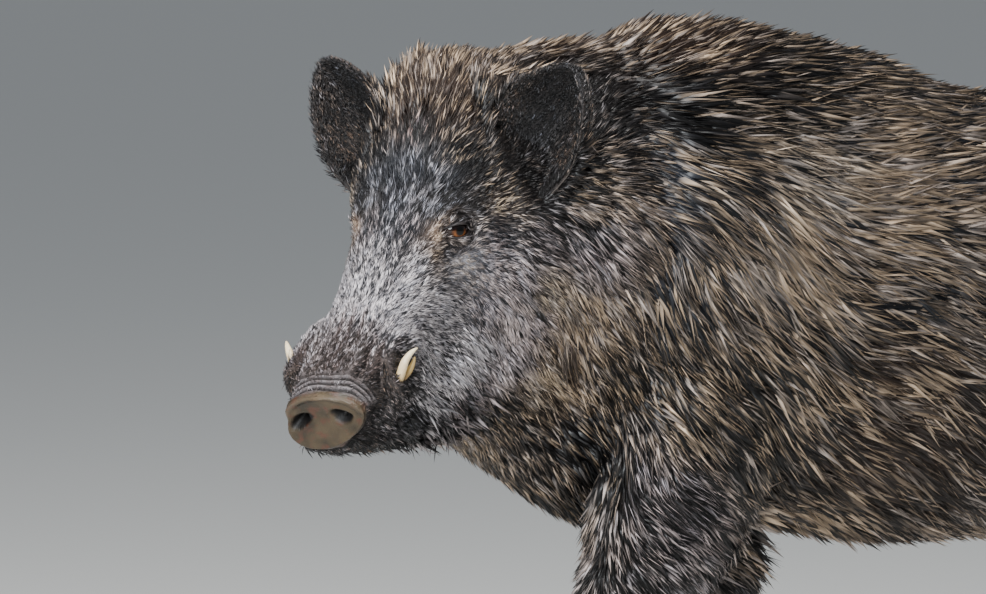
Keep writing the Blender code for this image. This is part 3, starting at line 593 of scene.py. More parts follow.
def path_distance(points, path):
    """How far each point is from a line through the path's points, and how far along it lies, 0 to 1."""
    best = np.full(len(points), 1e9)
    share = np.zeros(len(points))
    path = np.array(path, float)
    for i, (start, end) in enumerate(zip(path, path[1:])):
        line = end - start
        t = np.clip(((points - start) @ line) / (line @ line), 0, 1)
        apart = np.linalg.norm(points - start - t[:, None] * line, axis=1)
        closer = apart < best
        best[closer] = apart[closer]
        share[closer] = ((i + t) / (len(path) - 1))[closer]
    return best, share


# The mouth's line, the lip raised in front of the tusk and the crease behind it, on the left, in the
# head's axes.
MOUTH = (
    (0.196, 0.020, -0.140),
    (0.172, 0.038, -0.130),
    (0.150, 0.046, -0.122),
    (0.120, 0.048, -0.128),
    (0.080, 0.056, -0.136),
    (0.045, 0.064, -0.140),
)
LIP = (
    (0.146, 0.054, -0.045),
    (0.160, 0.052, -0.056),
    (0.168, 0.054, -0.078),
    (0.167, 0.054, -0.096),
    (0.170, 0.042, -0.116),
    (0.180, 0.028, -0.134),
)
CREASE = (
    (0.132, 0.056, -0.052),
    (0.140, 0.056, -0.070),
    (0.148, 0.056, -0.096),
    (0.150, 0.048, -0.120),
)
TUSK_ROOT = (0.162, 0.055, -0.083)
GUM_TOP = (0.150, 0.062, -0.064)  # where the bare gum round the tusks ends
FAR_LIP_TOP = (0.158, 0.058, -0.070)
TO_MOUTH = (0, 0, -0.009)  # from the roll over the mouth down to its line
# Each fold's height over the skin and its reach from the line or place that it follows.
FOLDS = {
    "mouth": (-0.0045, 0.0045),
    "upper lip": (0.0022, 0.010),
    "raised lip": (0.0065, 0.0095),
    "crease": (-0.0040, 0.0075),
    "gum": (0.0085, 0.015),
    "far lip": (0.0130, 0.018),
}
WRINKLE_STEP = 0.0062  # from one wrinkle behind the disc to the next
WRINKLE_HEIGHT = 0.0014
FURROW_STEP = 0.0125  # between the furrows along the snout
FURROW_HEIGHT = 0.0017
NOSE_RIDGE = 0.025  # from the snout's middle to the ridge on each side of it
RIDGE_HEIGHT = 0.0032


def mirrored(near):
    """Points in the head's axes, those of the right side laid over the left."""
    return near * [1, 0, 1] + np.abs(near) * [0, 1, 0]


def fold(name, distance):
    """How far a fold moves the skin at a distance from what it follows."""
    height, reach = FOLDS[name]
    return height * mound(distance, reach)


def fold_face(obj):
    """Lips, folds and wrinkles, moved along the skin's normals, with the wrinkles' grooves stored for
    painted shade.
    """
    points, normals, edges = arrays(obj.data)
    smooth = unit(spread_out(normals, edges, 4))
    near = moved(points, TO_HEAD)
    even = mirrored(near)
    shift = np.zeros(len(points))
    gap, share = path_distance(even, MOUTH)
    shift += fold("mouth", gap) * ramp(share, 1.0, 0.8)
    gap, _ = path_distance(even + TO_MOUTH, MOUTH)
    shift += fold("upper lip", gap)
    gap, share = path_distance(even, LIP)
    shift += fold("raised lip", gap) * ramp(share, 1.0, 0.75) * ramp(share, 0.0, 0.15)
    gap, _ = path_distance(even, CREASE)
    shift += fold("crease", gap)
    shift += fold("gum", np.linalg.norm(even - TUSK_ROOT, axis=1))
    far = near[:, 1] < 0
    shift += fold("far lip", np.linalg.norm(even - FAR_LIP_TOP, axis=1)) * far
    disc = moved(points, DISC.inverted())
    above = ramp(disc[:, 2], -0.004, 0.012)
    rim = ramp(disc[:, 0], -0.034, -0.026) * ramp(disc[:, 0], -0.003, -0.006) * above
    waver = np.array([noise.noise(Vector((p[1] * 45, p[0] * 30, 8.0))) for p in near])
    wave = np.sin((disc[:, 0] + 0.002) * math.tau / WRINKLE_STEP + waver * 2.6)
    shift += WRINKLE_HEIGHT * rim * wave
    # painted shade in the wrinkles' grooves, darkest at the bottom of each
    store(obj.data, "groove", rim * (0.5 - wave * 0.5))
    length = ramp(near[:, 0], 0.105, 0.135) * ramp(disc[:, 0], -0.020, -0.034)
    wander = np.array([noise.noise(Vector((p[0] * 30, p[1] * 12, 3.0))) for p in near])
    shift += FURROW_HEIGHT * length * above * np.sin(near[:, 1] * math.tau / FURROW_STEP + wander * 3)
    ridge = mound(np.abs(even[:, 1] - NOSE_RIDGE), 0.010) * length * above
    shift += RIDGE_HEIGHT * ridge
    place_points(obj.data, points + smooth * shift[:, None])


# In the disc's axes, where X is ahead, Y left and Z up.
NOSTRILS = {1: (0.0180, 0.0012), -1: (-0.0270, -0.0015)}  # middles by side, to the left and up
NOSTRIL_HALF = (0.0112, 0.0078)  # half width and half height
NOSTRIL_SLANT = 0.25
NOSTRIL_DEPTH = 0.0170
DISC_HALF = (0.043, 0.030)
DISC_MIDDLE = -0.0015


def nostril_reach(at, sign):
    """1 at a nostril's edge and 0 in its middle, for points in the disc's axes."""
    across, up = at[:, 1] - NOSTRILS[sign][0], at[:, 2] - NOSTRILS[sign][1]
    slanted = up + across * NOSTRIL_SLANT * sign
    return np.hypot(across / NOSTRIL_HALF[0], slanted / NOSTRIL_HALF[1])


def disc_reach(at):
    """1 at the disc's outline and 0 in its middle, for points in its axes."""
    return np.hypot(at[:, 1] / DISC_HALF[0], (at[:, 2] - DISC_MIDDLE) / DISC_HALF[1])


def turn_disc(obj):
    """Turns the disc's face to the left and draws its lower end forward, less and less behind it."""
    points, _, _ = arrays(obj.data)
    at = moved(points, DISC.inverted())
    ahead, left, up = at.T
    hold = ramp(ahead, -0.055, -0.010) * ramp(np.hypot(left, up), 0.085, 0.048)
    low = np.clip(-up / DISC_HALF[1], 0, 1.2)
    high = np.clip(up / DISC_HALF[1], 0, 1.2)
    forward = 0.010 * low - 0.0040 - left * 0.093
    sideways = -0.0015 - 0.015 * low - up * 0.14
    upward = 0.0005 - 0.002 * low - 0.0035 * high + left * 0.13
    shift = np.stack((forward, sideways, upward), axis=1)
    place_points(obj.data, moved(at + shift * hold[:, None], DISC))


def shape_disc(obj):
    """The disc's turned rim, its hollow face and the nostrils, in the disc's own axes."""
    points, _, _ = arrays(obj.data)
    at = moved(points, DISC.inverted())
    angle = np.arctan2(at[:, 2], at[:, 1])
    reach = disc_reach(at)
    front = ramp(at[:, 0], -0.010, -0.004) * ramp(reach, 1.25, 1.1)
    flat = ramp(at[:, 0], -0.014, -0.009) * ramp(reach, 1.07, 0.99)
    lobes = (1 + 0.12 * np.sin(angle * 9)) * (1 + 0.8 * np.sin(angle))
    edge = 0.0016 * mound(reach - 0.95, 0.11) * lobes
    at[:, 0] += (edge - 0.0012 - 0.0016 * mound(reach, 0.80) - at[:, 0]) * flat
    lift = np.zeros(len(points))
    for sign in SIDES.values():
        bore = nostril_reach(at, sign)
        lift -= NOSTRIL_DEPTH * mound(bore, 1.12)
        lift += 0.0009 * mound(bore - 1.40, 0.40)
    at[:, 0] += lift * front
    place_points(obj.data, moved(at, DISC))


LID_STEPS = 40  # round each eye
# From the lid's edge outwards: share of the way to the outer border, height over the eyeball.
LID_ROWS = (
    (0.00, -0.0030),
    (0.00, 0.0004),
    (0.05, 0.0017),
    (0.14, 0.0022),
    (0.26, 0.0014),
    (0.38, 0.0024),
    (0.55, 0.0020),
    (0.78, 0.0010),
    (1.00, -0.0030),
)
LID_REACH = 0.0215  # of the outer border from the gaze
BROW_FOLD = 0.0024  # how much higher the upper lid's fold stands
LASH_FOLD = 0.0014  # and its edge
OPENING = (0.0130, 0.0063, 0.0054)  # half width, height above and below the line between the corners


def eye_axes(sign):
    """The eye's own axes: X along its gaze, Y towards the ear, Z up."""
    gaze = sided(GAZE, sign)
    back = Vector((-1, 0.42 * sign, -0.40))
    back = (back - gaze * back.dot(gaze)).normalized()
    up = gaze.cross(back) * sign
    made = Matrix((gaze, back, up)).transposed().to_4x4()
    made.translation = (0, EYE_SIDE * sign, 0)
    return HEAD @ made


def opening_at(angle):
    """How far the lids' edge is from the gaze at an angle round it: an almond with pointed corners."""
    wide, high, low = OPENING
    tall = high if math.sin(angle) > 0 else low
    almond = 1 / math.hypot(math.cos(angle) / wide, math.sin(angle) / tall)
    return almond * (1 + 0.16 * abs(math.cos(angle)) ** 9)


def make_room(obj, sign):
    """Presses the skin behind the lids, so that only they show round the eye."""
    points, _, _ = arrays(obj.data)
    axes = eye_axes(sign)
    at = moved(points, axes.inverted())
    apart = np.hypot(at[:, 1], at[:, 2])
    floor = 0.001 + 0.5 * np.maximum(apart - 0.012, 0)
    near = ramp(apart, LID_REACH + 0.003, LID_REACH - 0.006) * (at[:, 0] > -0.02)
    at[:, 0] = np.where(at[:, 0] > floor, at[:, 0] + (floor - at[:, 0]) * near, at[:, 0])
    place_points(obj.data, moved(at, axes))


def lid_mesh(obj, sign):
    """Both lids of one eye as a rolled ring, whose border sinks into the skin."""
    axes = eye_axes(sign)
    back = axes.inverted()
    shape = bmesh.new()
    rings = []
    for share, over in LID_ROWS:
        ring = []
        for k in range(LID_STEPS):
            angle = math.tau * k / LID_STEPS
            edge = opening_at(angle)
            apart = edge + (LID_REACH - edge) * share
            y, z = apart * math.cos(angle), apart * math.sin(angle)
            heavy = max(math.sin(angle), 0)
            brow = heavy * (BROW_FOLD * (0.3 < share < 0.9) + LASH_FOLD * (0.0 < share < 0.2))
            ball = math.sqrt(max((EYE_RADIUS + over + brow) ** 2 - apart**2, 0.0))
            direction = axes.to_3x3() @ Vector((-1, 0, 0))
            hit, place, _, _ = obj.ray_cast(axes @ Vector((0.05, y, z)), direction)
            surface = (back @ place).x if hit else 0
            blend = min(max((share - 0.30) / 0.45, 0), 1)
            x = ball * (1 - blend) + (surface + over) * blend
            ring.append(shape.verts.new(axes @ Vector((x, y, z))))
        rings.append(ring)
    for first, second in zip(rings, rings[1:]):
        for k in range(LID_STEPS):
            n = (k + 1) % LID_STEPS
            corners = (first[k], second[k], second[n], first[n])
            shape.faces.new(corners if sign > 0 else corners[::-1])
    shape.normal_update()
    out = axes.to_3x3() @ Vector((1, 0, 0))
    if sum(face.normal.dot(out) for face in shape.faces) < 0:
        bmesh.ops.reverse_faces(shape, faces=shape.faces)
    bmesh.ops.subdivide_edges(shape, edges=shape.edges, cuts=1, use_grid_fill=True, smooth=1.0)
    bmesh.ops.triangulate(shape, faces=shape.faces)
    mesh = bpy.data.meshes.new("lids")
    shape.to_mesh(mesh)
    shape.free()
    return mesh


def add_lids(obj):
    """Joins the lids to the skin; a vertex attribute tells them apart."""
    for sign in SIDES.values():
        make_room(obj, sign)
    bpy.context.view_layer.update()
    lids = [lid_mesh(obj, sign) for sign in SIDES.values()]
    skin_count = len(obj.data.vertices)
    shape = bmesh.new()
    shape.from_mesh(obj.data)
    for mesh in lids:
        shape.from_mesh(mesh)
        bpy.data.meshes.remove(mesh)
    shape.to_mesh(obj.data)
    shape.free()
    lid = np.zeros(len(obj.data.vertices), np.float32)
    lid[skin_count:] = 1
    store(obj.data, "lid", lid)


def store(mesh, name, values):
    """Writes a field of one, three or four numbers a vertex as an attribute."""
    values = np.array(values, np.float32)
    kinds = {1: ("FLOAT", "value"), 3: ("FLOAT_VECTOR", "vector"), 4: ("FLOAT_COLOR", "color")}
    kind, key = kinds[1 if values.ndim == 1 else values.shape[1]]
    attribute = mesh.attributes.get(name) or mesh.attributes.new(name, kind, "POINT")
    attribute.data.foreach_set(key, values.ravel())


# ---------------------------------------------------------------- what the coat reads from the skin


def disc_parts(points):
    """How much each point is of the disc, its nostrils, where shade is painted, and its upper rim, where a
    highlight is painted, and places in the disc's axes.
    """
    disc = moved(points, DISC.inverted())
    front = disc[:, 0] > -0.030
    # the nostrils' pits: bare of hair, and painted near-black by the skin's finish as shade
    pits = np.zeros(len(points))
    for sign in SIDES.values():
        pits = np.maximum(pits, ramp(nostril_reach(disc, sign), 1.20, 0.90) * front)
    face = ramp(disc[:, 0], -0.009, -0.005) * (np.hypot(disc[:, 1], disc[:, 2]) < 0.055)
    face = np.maximum(face, pits)
    # painted highlight: a pale line along the top of the disc's rim, where the light from above catches it
    rim = mound(disc_reach(disc) - 1.02, 0.07) * ramp(disc[:, 2], -0.010, 0.008)
    return face, pits, rim * face, disc


def bare_parts(points):
    """1 where no hair grows: the disc, the wrinkles, the lids' edges and round the tusks."""
    face, _, _, disc = disc_parts(points)
    wrinkles = ramp(disc[:, 0], -0.034, -0.020) * ramp(disc[:, 2], -0.010, 0.010)
    wrinkles *= np.hypot(disc[:, 1], disc[:, 2]) < 0.060
    bare = np.maximum(face, wrinkles * 0.85)
    gum, _ = path_distance(mirrored(moved(points, TO_HEAD)), (TUSK_ROOT, GUM_TOP))
    bare = np.maximum(bare, ramp(gum, 0.0085, 0.0060))
    wide, high, low = OPENING
    for sign in SIDES.values():
        at = moved(points, eye_axes(sign).inverted())
        tall = np.where(at[:, 2] > 0, high, low)
        almond = np.hypot(at[:, 1] / wide, at[:, 2] / tall)
        bare = np.maximum(bare, ramp(almond, 1.45, 1.2) * (np.abs(at[:, 0]) < 0.03))
    return bare


def coat_regions(points, near):
    """Which points of the skin each piece of the coat covers, and how far whiskers grow on them.

    near holds the same points in the head's axes.
    """
    low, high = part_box("trunk")
    span = high.x - low.x
    x, z = points[:, 0], points[:, 2]
    left = points[:, 1] > BODY_MIDDLE
    ahead, up = near[:, 0], near[:, 2]
    ear = (np.abs(near[:, 1]) > 0.085) & (up > 0.035) & (ahead > -0.16) & (ahead < -0.04)
    face = (ahead > -0.150) & (z > 0.47) & (x > 0.255) & ~ear
    leg = (z < 0.36) & (x > -0.66) & ~face
    body = ~ear & ~face & ~leg
    neck, rump = x > low.x + 0.75 * span, x <= low.x + 0.36 * span
    parts = {
        "coat_ears": ear,
        "coat_muzzle": face & (ahead > 0.035),
        "coat_face": face & (ahead <= 0.035),
        "coat_neck": body & neck,
        "coat_flank": body & ~neck & ~rump,
        "coat_rump": body & rump,
        "coat_forelegs": leg & (x > -0.25),
        "coat_hindlegs": leg & (x <= -0.25),
    }
    chin = ramp(up, -0.135, -0.160) * ramp(ahead, 0.03, 0.06)
    lip = ramp(ahead, 0.10, 0.13) * (up < -0.06)
    out = {"whiskers": np.maximum(chin, lip * 0.3) * face}
    for name, covers in parts.items():
        if name in ("coat_ears", "coat_forelegs", "coat_hindlegs"):
            out[name] = covers
        else:
            middle_line = near[:, 1] > 0 if name in ("coat_muzzle", "coat_face") else left
            out[f"{name}_left"] = covers & middle_line
            out[f"{name}_right"] = covers & ~middle_line
    return out


EAR_HAIR = (0.0085, 0.0020)  # the longest and the highest on the ears
STIR_SEED = 5  # of the noise that ruffles the lie of the coat
STIR = ((22, 0.20), (7, 0.22))  # how many of its waves there are to the metre, and how far they turn hairs
PATCHES = 0.26  # how much patches differ in their share of pale tips


def comb_skin(obj, comb):
    """Stores the coat's lie, sizes, tones and density on the skin."""
    noise.seed_set(STIR_SEED)
    points, normals, _ = arrays(obj.data)
    lies, sizes, tips, roots = comb.at(points, normals)
    regions = coat_regions(points, moved(points, TO_HEAD))
    ears = regions["coat_ears"][:, None]
    sizes[:, 0:2] = np.where(ears, np.minimum(sizes[:, 0:2], EAR_HAIR), sizes[:, 0:2])
    places = [Vector(p) for p in points]
    for waves, strength in STIR:
        lies = lies + np.array([noise.noise_vector(p * waves) for p in places]) * strength
    lies = unit(lies - normals * (lies * normals).sum(axis=1, keepdims=True))
    bare = bare_parts(points)
    face, pits, rim, _ = disc_parts(points)
    patch = np.array([noise.noise(p * 16) + noise.noise(p * 48) * 0.7 for p in places])
    store(obj.data, "lie", lies)
    store(obj.data, "size", sizes[:, 0:3])
    store(obj.data, "pale", sizes[:, 4] * (1 + PATCHES * patch))
    store(obj.data, "bare", bare)
    store(obj.data, "disc", face)
    # where the finish paints shade inside the nostrils
    store(obj.data, "pit", pits)
    # where the finish paints a highlight along the disc's upper rim
    store(obj.data, "rim", rim)
    shade = np.ones((len(points), 1))
    store(obj.data, "tip_tone", np.hstack([tips, shade]))
    store(obj.data, "root_tone", np.hstack([roots, shade]))
    for name, covers in regions.items():
        store(obj.data, name, sizes[:, 3] * (1 - bare) * covers)


def unwrap(obj):
    """A map named OFBake over the skin's own shape."""
    bpy.context.view_layer.objects.active = obj
    obj.select_set(True)
    obj.data.uv_layers.new(name="OFBake")
    bpy.ops.object.mode_set(mode="EDIT")
    bpy.ops.mesh.select_all(action="SELECT")
    bpy.ops.uv.smart_project(angle_limit=math.radians(70), island_margin=0.002)
    bpy.ops.object.mode_set(mode="OBJECT")
    obj.select_set(False)


def store_roots():
    """Each point of the skin's map as a vector, which the tufts carry from their roots."""
    mesh = bpy.data.objects["skin"].data
    flat = np.empty(len(mesh.loops) * 2, np.float32)
    mesh.uv_layers["OFBake"].data.foreach_get("uv", flat)
    flat = flat.reshape(-1, 2)
    values = np.hstack([flat, np.zeros((len(flat), 1), np.float32)])
    attribute = mesh.attributes.new("root", "FLOAT_VECTOR", "CORNER")
    attribute.data.foreach_set("vector", values.ravel())


# ---------------------------------------------------------------- node graphs


class Value:
    """A node's output socket. Expressions on it add Math nodes."""

    def __init__(self, graph, socket):
        self.graph = graph
        self.socket = socket

    def other(self, name):
        """Another output of the same node."""
        live = (s for s in self.socket.node.outputs if s.enabled)
        return Value(self.graph, next(s for s in live if s.name == name))

    def maths(self, operation, *terms):
        """A Math node over these terms, in their order."""
        return self.graph.node("ShaderNodeMath", {"operation": operation}, dict(enumerate(terms)))

    def __add__(self, other):
        return self.maths("ADD", self, other)

    def __sub__(self, other):
        return self.maths("SUBTRACT", self, other)

    def __rsub__(self, other):
        return self.maths("SUBTRACT", other, self)

    def __mul__(self, other):
        return self.maths("MULTIPLY", self, other)

    def __truediv__(self, other):
        return self.maths("DIVIDE", self, other)

    def __pow__(self, other):
        return self.maths("POWER", self, other)

    __radd__ = __add__
    __rmul__ = __mul__

    def fraction(self):
        """What is left of the number over its whole part."""
        return self.maths("FRACT", self)

    def size(self):
        """The number without its sign."""
        return self.maths("ABSOLUTE", self)

    def sine(self):
        """The sine of the number."""
        return self.maths("SINE", self)

    def clipped(self, low, high):
        """0 at low, 1 at high, straight between."""
        ends = {"From Min": low, "From Max": high, "To Min": 0, "To Max": 1}
        return self.graph.node("ShaderNodeMapRange", {}, {"Value": self, **ends})


class Graph:
    """Adds nodes to a tree and links them."""

    def __init__(self, tree):
        self.tree = tree

    def node(self, kind, settings=None, inputs=None):
        """Adds a node with these settings and inputs, and gives its first output."""
        made = self.tree.nodes.new(kind)
        for name, value in (settings or {}).items():
            setattr(made, name, value)
        for key, value in (inputs or {}).items():
            self.feed(made, key, value)
        return Value(self, next((s for s in made.outputs if s.enabled), None))

    def feed(self, node, key, value):
        """Sets an input, by name or by number, to a value or to another node's output."""
        live = [s for s in node.inputs if s.enabled]
        socket = live[key] if isinstance(key, int) else next(s for s in live if s.name == key)
        if isinstance(value, Value):
            self.tree.links.new(value.socket, socket)
        elif isinstance(value, (tuple, list)) and socket.type == "RGBA" and len(value) == 3:
            socket.default_value = (*value, 1)
        else:
            socket.default_value = value

    def mix(self, share, first, second, blend="MIX"):
        """A colour between two, by a share from 0 to 1."""
        settings = {"data_type": "RGBA", "blend_type": blend}
        return self.node("ShaderNodeMix", settings, {"Factor": share, "A": first, "B": second})

    def grey(self, value):
        """A number as a colour."""
        return self.node("ShaderNodeCombineXYZ", {}, {"X": value, "Y": value, "Z": value})

    def vector(self, operation, *terms):
        """A Vector Math node over these terms, in their order."""
        return self.node("ShaderNodeVectorMath", {"operation": operation}, dict(enumerate(terms)))

    def scaled(self, vector, amount):
        """A vector times a number."""
        return self.node("ShaderNodeVectorMath", {"operation": "SCALE"}, {0: vector, "Scale": amount})


# ---------------------------------------------------------------- the coat

PER_SQUARE_METRE = 1e6  # for a number given for the square millimetre
PATCH = 0.003  # across a tuft's place on the skin's map
LOCK_SHARE = 0.07  # locks for each tuft
REACH_SHARE = 0.36  # of a hair's length, over which its streak holds each way
FINER = {"coat_muzzle": 2.2, "coat_ears": 2.0, "coat_face": 1.5}  # whose streaks are closer together
SEED_STEP = 20  # from one piece of the coat to the next
# Whiskers and chin hairs against the coat under them.
WHISKERS = {"Tufts": 0.11, "Length": 1.7, "Width": 0.4, "Rise": 3.4, "Stray": 3.0, "Gather": 0.0}

# The inputs of the coat's tree.
COAT_INPUTS = {
    "Skin": "Geometry",
    "Tuft": "Object",
    "Region": "String",
    "Tufts": "Float",
    "Length": "Float",
    "Width": "Float",
    "Rise": "Float",
    "Stray": "Float",
    "Sway": "Float",
    "Bow": "Float",
    "Streaks": "Float",
    "Gather": "Float",
    "Seed": "Int",
    "Material": "Material",
}
TURN_SHARES = (1.5, 0.6, 1.0)  # of the stray: rolling, lifting and turning a tuft
# What the tufts carry from the skin for their shape alone.
DROPPED = (
    "pull",
    "bow",
    "lie",
    "size",
    "patch",
    "root",
    "bare",
    "lid",
    "disc",
    "pit",
    "rim",
    "groove",
    "whiskers",
)


def tuft_mesh():
    """One tuft of hair: a thin closed wedge from its root, along X, bent over where it is widest."""
    shape = bmesh.new()
    corners = ((0.0, 0.0, -0.06), (0.40, -0.5, 0.60), (0.40, 0.5, 0.60), (1.0, 0.0, 1.0))
    root, first, second, tip = [shape.verts.new(place) for place in corners]
    for face in ((root, second, first), (first, second, tip), (root, first, tip), (root, tip, second)):
        shape.faces.new(face)
    mesh = bpy.data.meshes.new("tuft")
    bmesh.ops.recalc_face_normals(shape, faces=shape.faces)
    shape.to_mesh(mesh)
    shape.free()
    store(mesh, "along", [place[0] for place in corners])
    store(mesh, "across", [place[1] + 0.5 for place in corners])
    patches = ((0.5, 0.0, 0.0), (0.0, 0.4, 0.0), (1.0, 0.4, 0.0), (0.5, 1.0, 0.0))
    store(mesh, "patch", patches)
    return mesh


def named(graph, name, kind="FLOAT"):
    """An attribute of the geometry."""
    return graph.node("GeometryNodeInputNamedAttribute", {"data_type": kind}, {"Name": name})


def keep(graph, shape, name, value, kind="FLOAT", domain="POINT"):
    """The geometry with a value stored as an attribute."""
    settings = {"data_type": kind, "domain": domain}
    inputs = {"Geometry": shape, "Name": name, "Value": value}
    return graph.node("GeometryNodeStoreNamedAttribute", settings, inputs)


def scattered(graph, want, share, seed):
    """Points over the skin, for a share of the tufts."""
    return graph.node(
        "GeometryNodeDistributePointsOnFaces",
        {"distribute_method": "RANDOM"},
        {"Mesh": want["Skin"], "Density": share, "Seed": seed},
    )


def sampled(graph, kind, shape, value, index):
    """A value at one point of a geometry."""
    settings = {"data_type": kind, "domain": "POINT"}
    inputs = {"Geometry": shape, "Value": value, "Index": index}
    return graph.node("GeometryNodeSampleIndex", settings, inputs)


def random(graph, low, high, seed, number):
    """A random number for each tuft."""
    inputs = {"Min": low, "Max": high, "Seed": seed + number}
    return graph.node("FunctionNodeRandomValue", {"data_type": "FLOAT"}, inputs)


def streaks(graph, lie, reach, count):
    """A number from 0 to 1 that holds along the lie of the coat and changes across it."""
    here = graph.node("GeometryNodeInputPosition")
    total = 0.0
    for k in range(-3, 4):
        place = graph.vector("ADD", here, graph.scaled(lie, reach * (k / 3)))
        total = pattern(graph, count, 0, place) + total
    return ((total / 7 - 0.5) * 5 + 0.5).clipped(0, 1)


def coat_tree():
    """The tree that sets tufts over the skin: one for all the pieces of the coat."""
    tree = bpy.data.node_groups.new("Coat", "GeometryNodeTree")
    for name, kind in COAT_INPUTS.items():
        tree.interface.new_socket(name=name, in_out="INPUT", socket_type=f"NodeSocket{kind}")
    tree.interface.new_socket(name="Coat", in_out="OUTPUT", socket_type="NodeSocketGeometry")
    graph = Graph(tree)
    given = graph.node("NodeGroupInput")
    want = {name: given.other(name) for name in COAT_INPUTS}
    seed = want["Seed"]

    # Roots of tufts, and the middles of the locks that tufts gather to.
    crowd = named(graph, want["Region"]) * want["Tufts"]
    roots = scattered(graph, want, crowd, seed)
    normal = roots.other("Normal")
    middles = scattered(graph, want, crowd * LOCK_SHARE, seed + 1)
    here = graph.node("GeometryNodeInputPosition")
    nearest = graph.node("GeometryNodeSampleNearest", {"domain": "POINT"}, {"Geometry": middles})
    centre = sampled(graph, "FLOAT_VECTOR", middles, here, nearest)
    pull = graph.scaled(graph.vector("SUBTRACT", centre, here), want["Gather"])
    locks = keep(graph, middles, "lock", random(graph, 0.0, 1.0, seed, 12))
    lock = sampled(graph, "FLOAT", locks, named(graph, "lock"), nearest)

    # What each tuft carries: its lock's pull and bow, its streak, and two numbers for its colour.
    lie = named(graph, "lie", "FLOAT_VECTOR")
    size = graph.node("ShaderNodeSeparateXYZ", {}, {"Vector": named(graph, "size", "FLOAT_VECTOR")})
    length = size * want["Length"]
    side = graph.vector("CROSS_PRODUCT", normal, lie)
    bow = ((lock * 17.3).fraction() - 0.5) * size * want["Length"] * want["Bow"]
    points = keep(graph, roots, "pull", pull, "FLOAT_VECTOR")
    points = keep(graph, points, "bow", graph.scaled(side, bow), "FLOAT_VECTOR")
    ridge = streaks(graph, lie, length * REACH_SHARE, want["Streaks"])
    # the streak: its ridges stand higher, and the bristles' finish paints shade in its valleys
    points = keep(graph, points, "ridge", ridge)
    points = keep(graph, points, "whim", random(graph, 0.0, 1.0, seed, 2))
    points = keep(graph, points, "lock", lock)

    # A tuft's turn and size.
    axes = {"primary_axis": "Z", "secondary_axis": "X"}
    ways = {"Primary Axis": normal, "Secondary Axis": lie}
    facing = graph.node("FunctionNodeAxesToRotation", axes, ways)
    turns = []
    for k, share in enumerate(TURN_SHARES):
        turns.append(random(graph, -1.0, 1.0, seed, 3 + k) * want["Stray"] * share)
    turns[2] = turns[2] + (named(graph, "lock") - 0.5) * want["Sway"]
    tilt = graph.node("ShaderNodeCombineXYZ", {}, dict(zip("XYZ", turns)))
    stray = graph.node("FunctionNodeEulerToRotation", {}, {"Euler": tilt})
    turned = {"Rotation": facing, "Rotate By": stray}
    facing = graph.node("FunctionNodeRotateRotation", {"rotation_space": "LOCAL"}, turned)
    height = named(graph, "ridge") * 0.5 + random(graph, 0.4, 0.8, seed, 9)
    sizes = {
        "X": length * random(graph, 0.70, 1.25, seed, 7),
        "Y": size.other("Z") * want["Width"] * random(graph, 0.7, 1.3, seed, 8),
        "Z": size.other("Y") * want["Rise"] * height,
    }
    scale = graph.node("ShaderNodeCombineXYZ", {}, sizes)

    # The tufts as one mesh, bent towards their lock, with their patch of the skin's map.
    tuft = graph.node("GeometryNodeObjectInfo", {"transform_space": "ORIGINAL"}, {"Object": want["Tuft"]})
    tufts = graph.node(
        "GeometryNodeInstanceOnPoints",
        {},
        {"Points": points, "Instance": tuft.other("Geometry"), "Rotation": facing, "Scale": scale},
    )
    made = graph.node("GeometryNodeRealizeInstances", {}, {"Geometry": tufts})
    along = named(graph, "along")
    bend = graph.scaled(named(graph, "pull", "FLOAT_VECTOR"), along**1.5)
    bowed = graph.scaled(named(graph, "bow", "FLOAT_VECTOR"), along * (1 - along) * 4)
    bend = graph.vector("ADD", bend, bowed)
    made = graph.node("GeometryNodeSetPosition", {}, {"Geometry": made, "Offset": bend})
    patch = graph.scaled(named(graph, "patch", "FLOAT_VECTOR"), PATCH)
    place = graph.vector("ADD", named(graph, "root", "FLOAT_VECTOR"), patch)
    made = keep(graph, made, "OFBake", place, "FLOAT2", "CORNER")
    for name in DROPPED:
        made = graph.node("GeometryNodeRemoveAttribute", {}, {"Geometry": made, "Name": name})
    regions = {"Geometry": made, "Name": "coat_*"}
    made = graph.node("GeometryNodeRemoveAttribute", {"pattern_mode": "WILDCARD"}, regions)
    made = graph.node("GeometryNodeSetShadeSmooth", {}, {"Geometry": made, "Shade Smooth": True})
    made = graph.node("GeometryNodeSetMaterial", {}, {"Geometry": made, "Material": want["Material"]})
    graph.node("NodeGroupOutput", {}, {"Coat": made})
    return tree


def set_input(modifier, name, value):
    """Sets a Geometry Nodes input by its socket's identifier."""
    for item in modifier.node_group.interface.items_tree:
        if item.item_type == "SOCKET" and item.in_out == "INPUT" and item.name == name:
            modifier[item.identifier] = value
            return
    raise KeyError(name)


def grow_coat(name, region, **wants):
    """One piece of the coat, as a plain mesh."""
    carrier = new_object(name, bpy.data.objects["skin"].data.copy())
    modifier = carrier.modifiers.new("coat", "NODES")
    modifier.node_group = bpy.data.node_groups.get("Coat") or coat_tree()
    tuft = bpy.data.objects.get("tuft") or new_object("tuft", tuft_mesh())
    wants = {"Tuft": tuft, "Region": region, "Material": finish("bristles"), **wants}
    for key, value in wants.items():
        set_input(modifier, key, value)
    settled(carrier)
    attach(carrier, "root")


# ---------------------------------------------------------------- finishes


def principled(graph, inputs):
    """Ends a material in one principled shader."""
    shader = graph.node("ShaderNodeBsdfPrincipled", {}, inputs)
    graph.node("ShaderNodeOutputMaterial", {}, {"Surface": shader})


def look(graph, name):
    """An attribute of the surface as a colour."""
    return graph.node("ShaderNodeAttribute", {"attribute_type": "GEOMETRY", "attribute_name": name})


def level(graph, name):
    """An attribute of the surface as a number."""
    return look(graph, name).other("Fac")


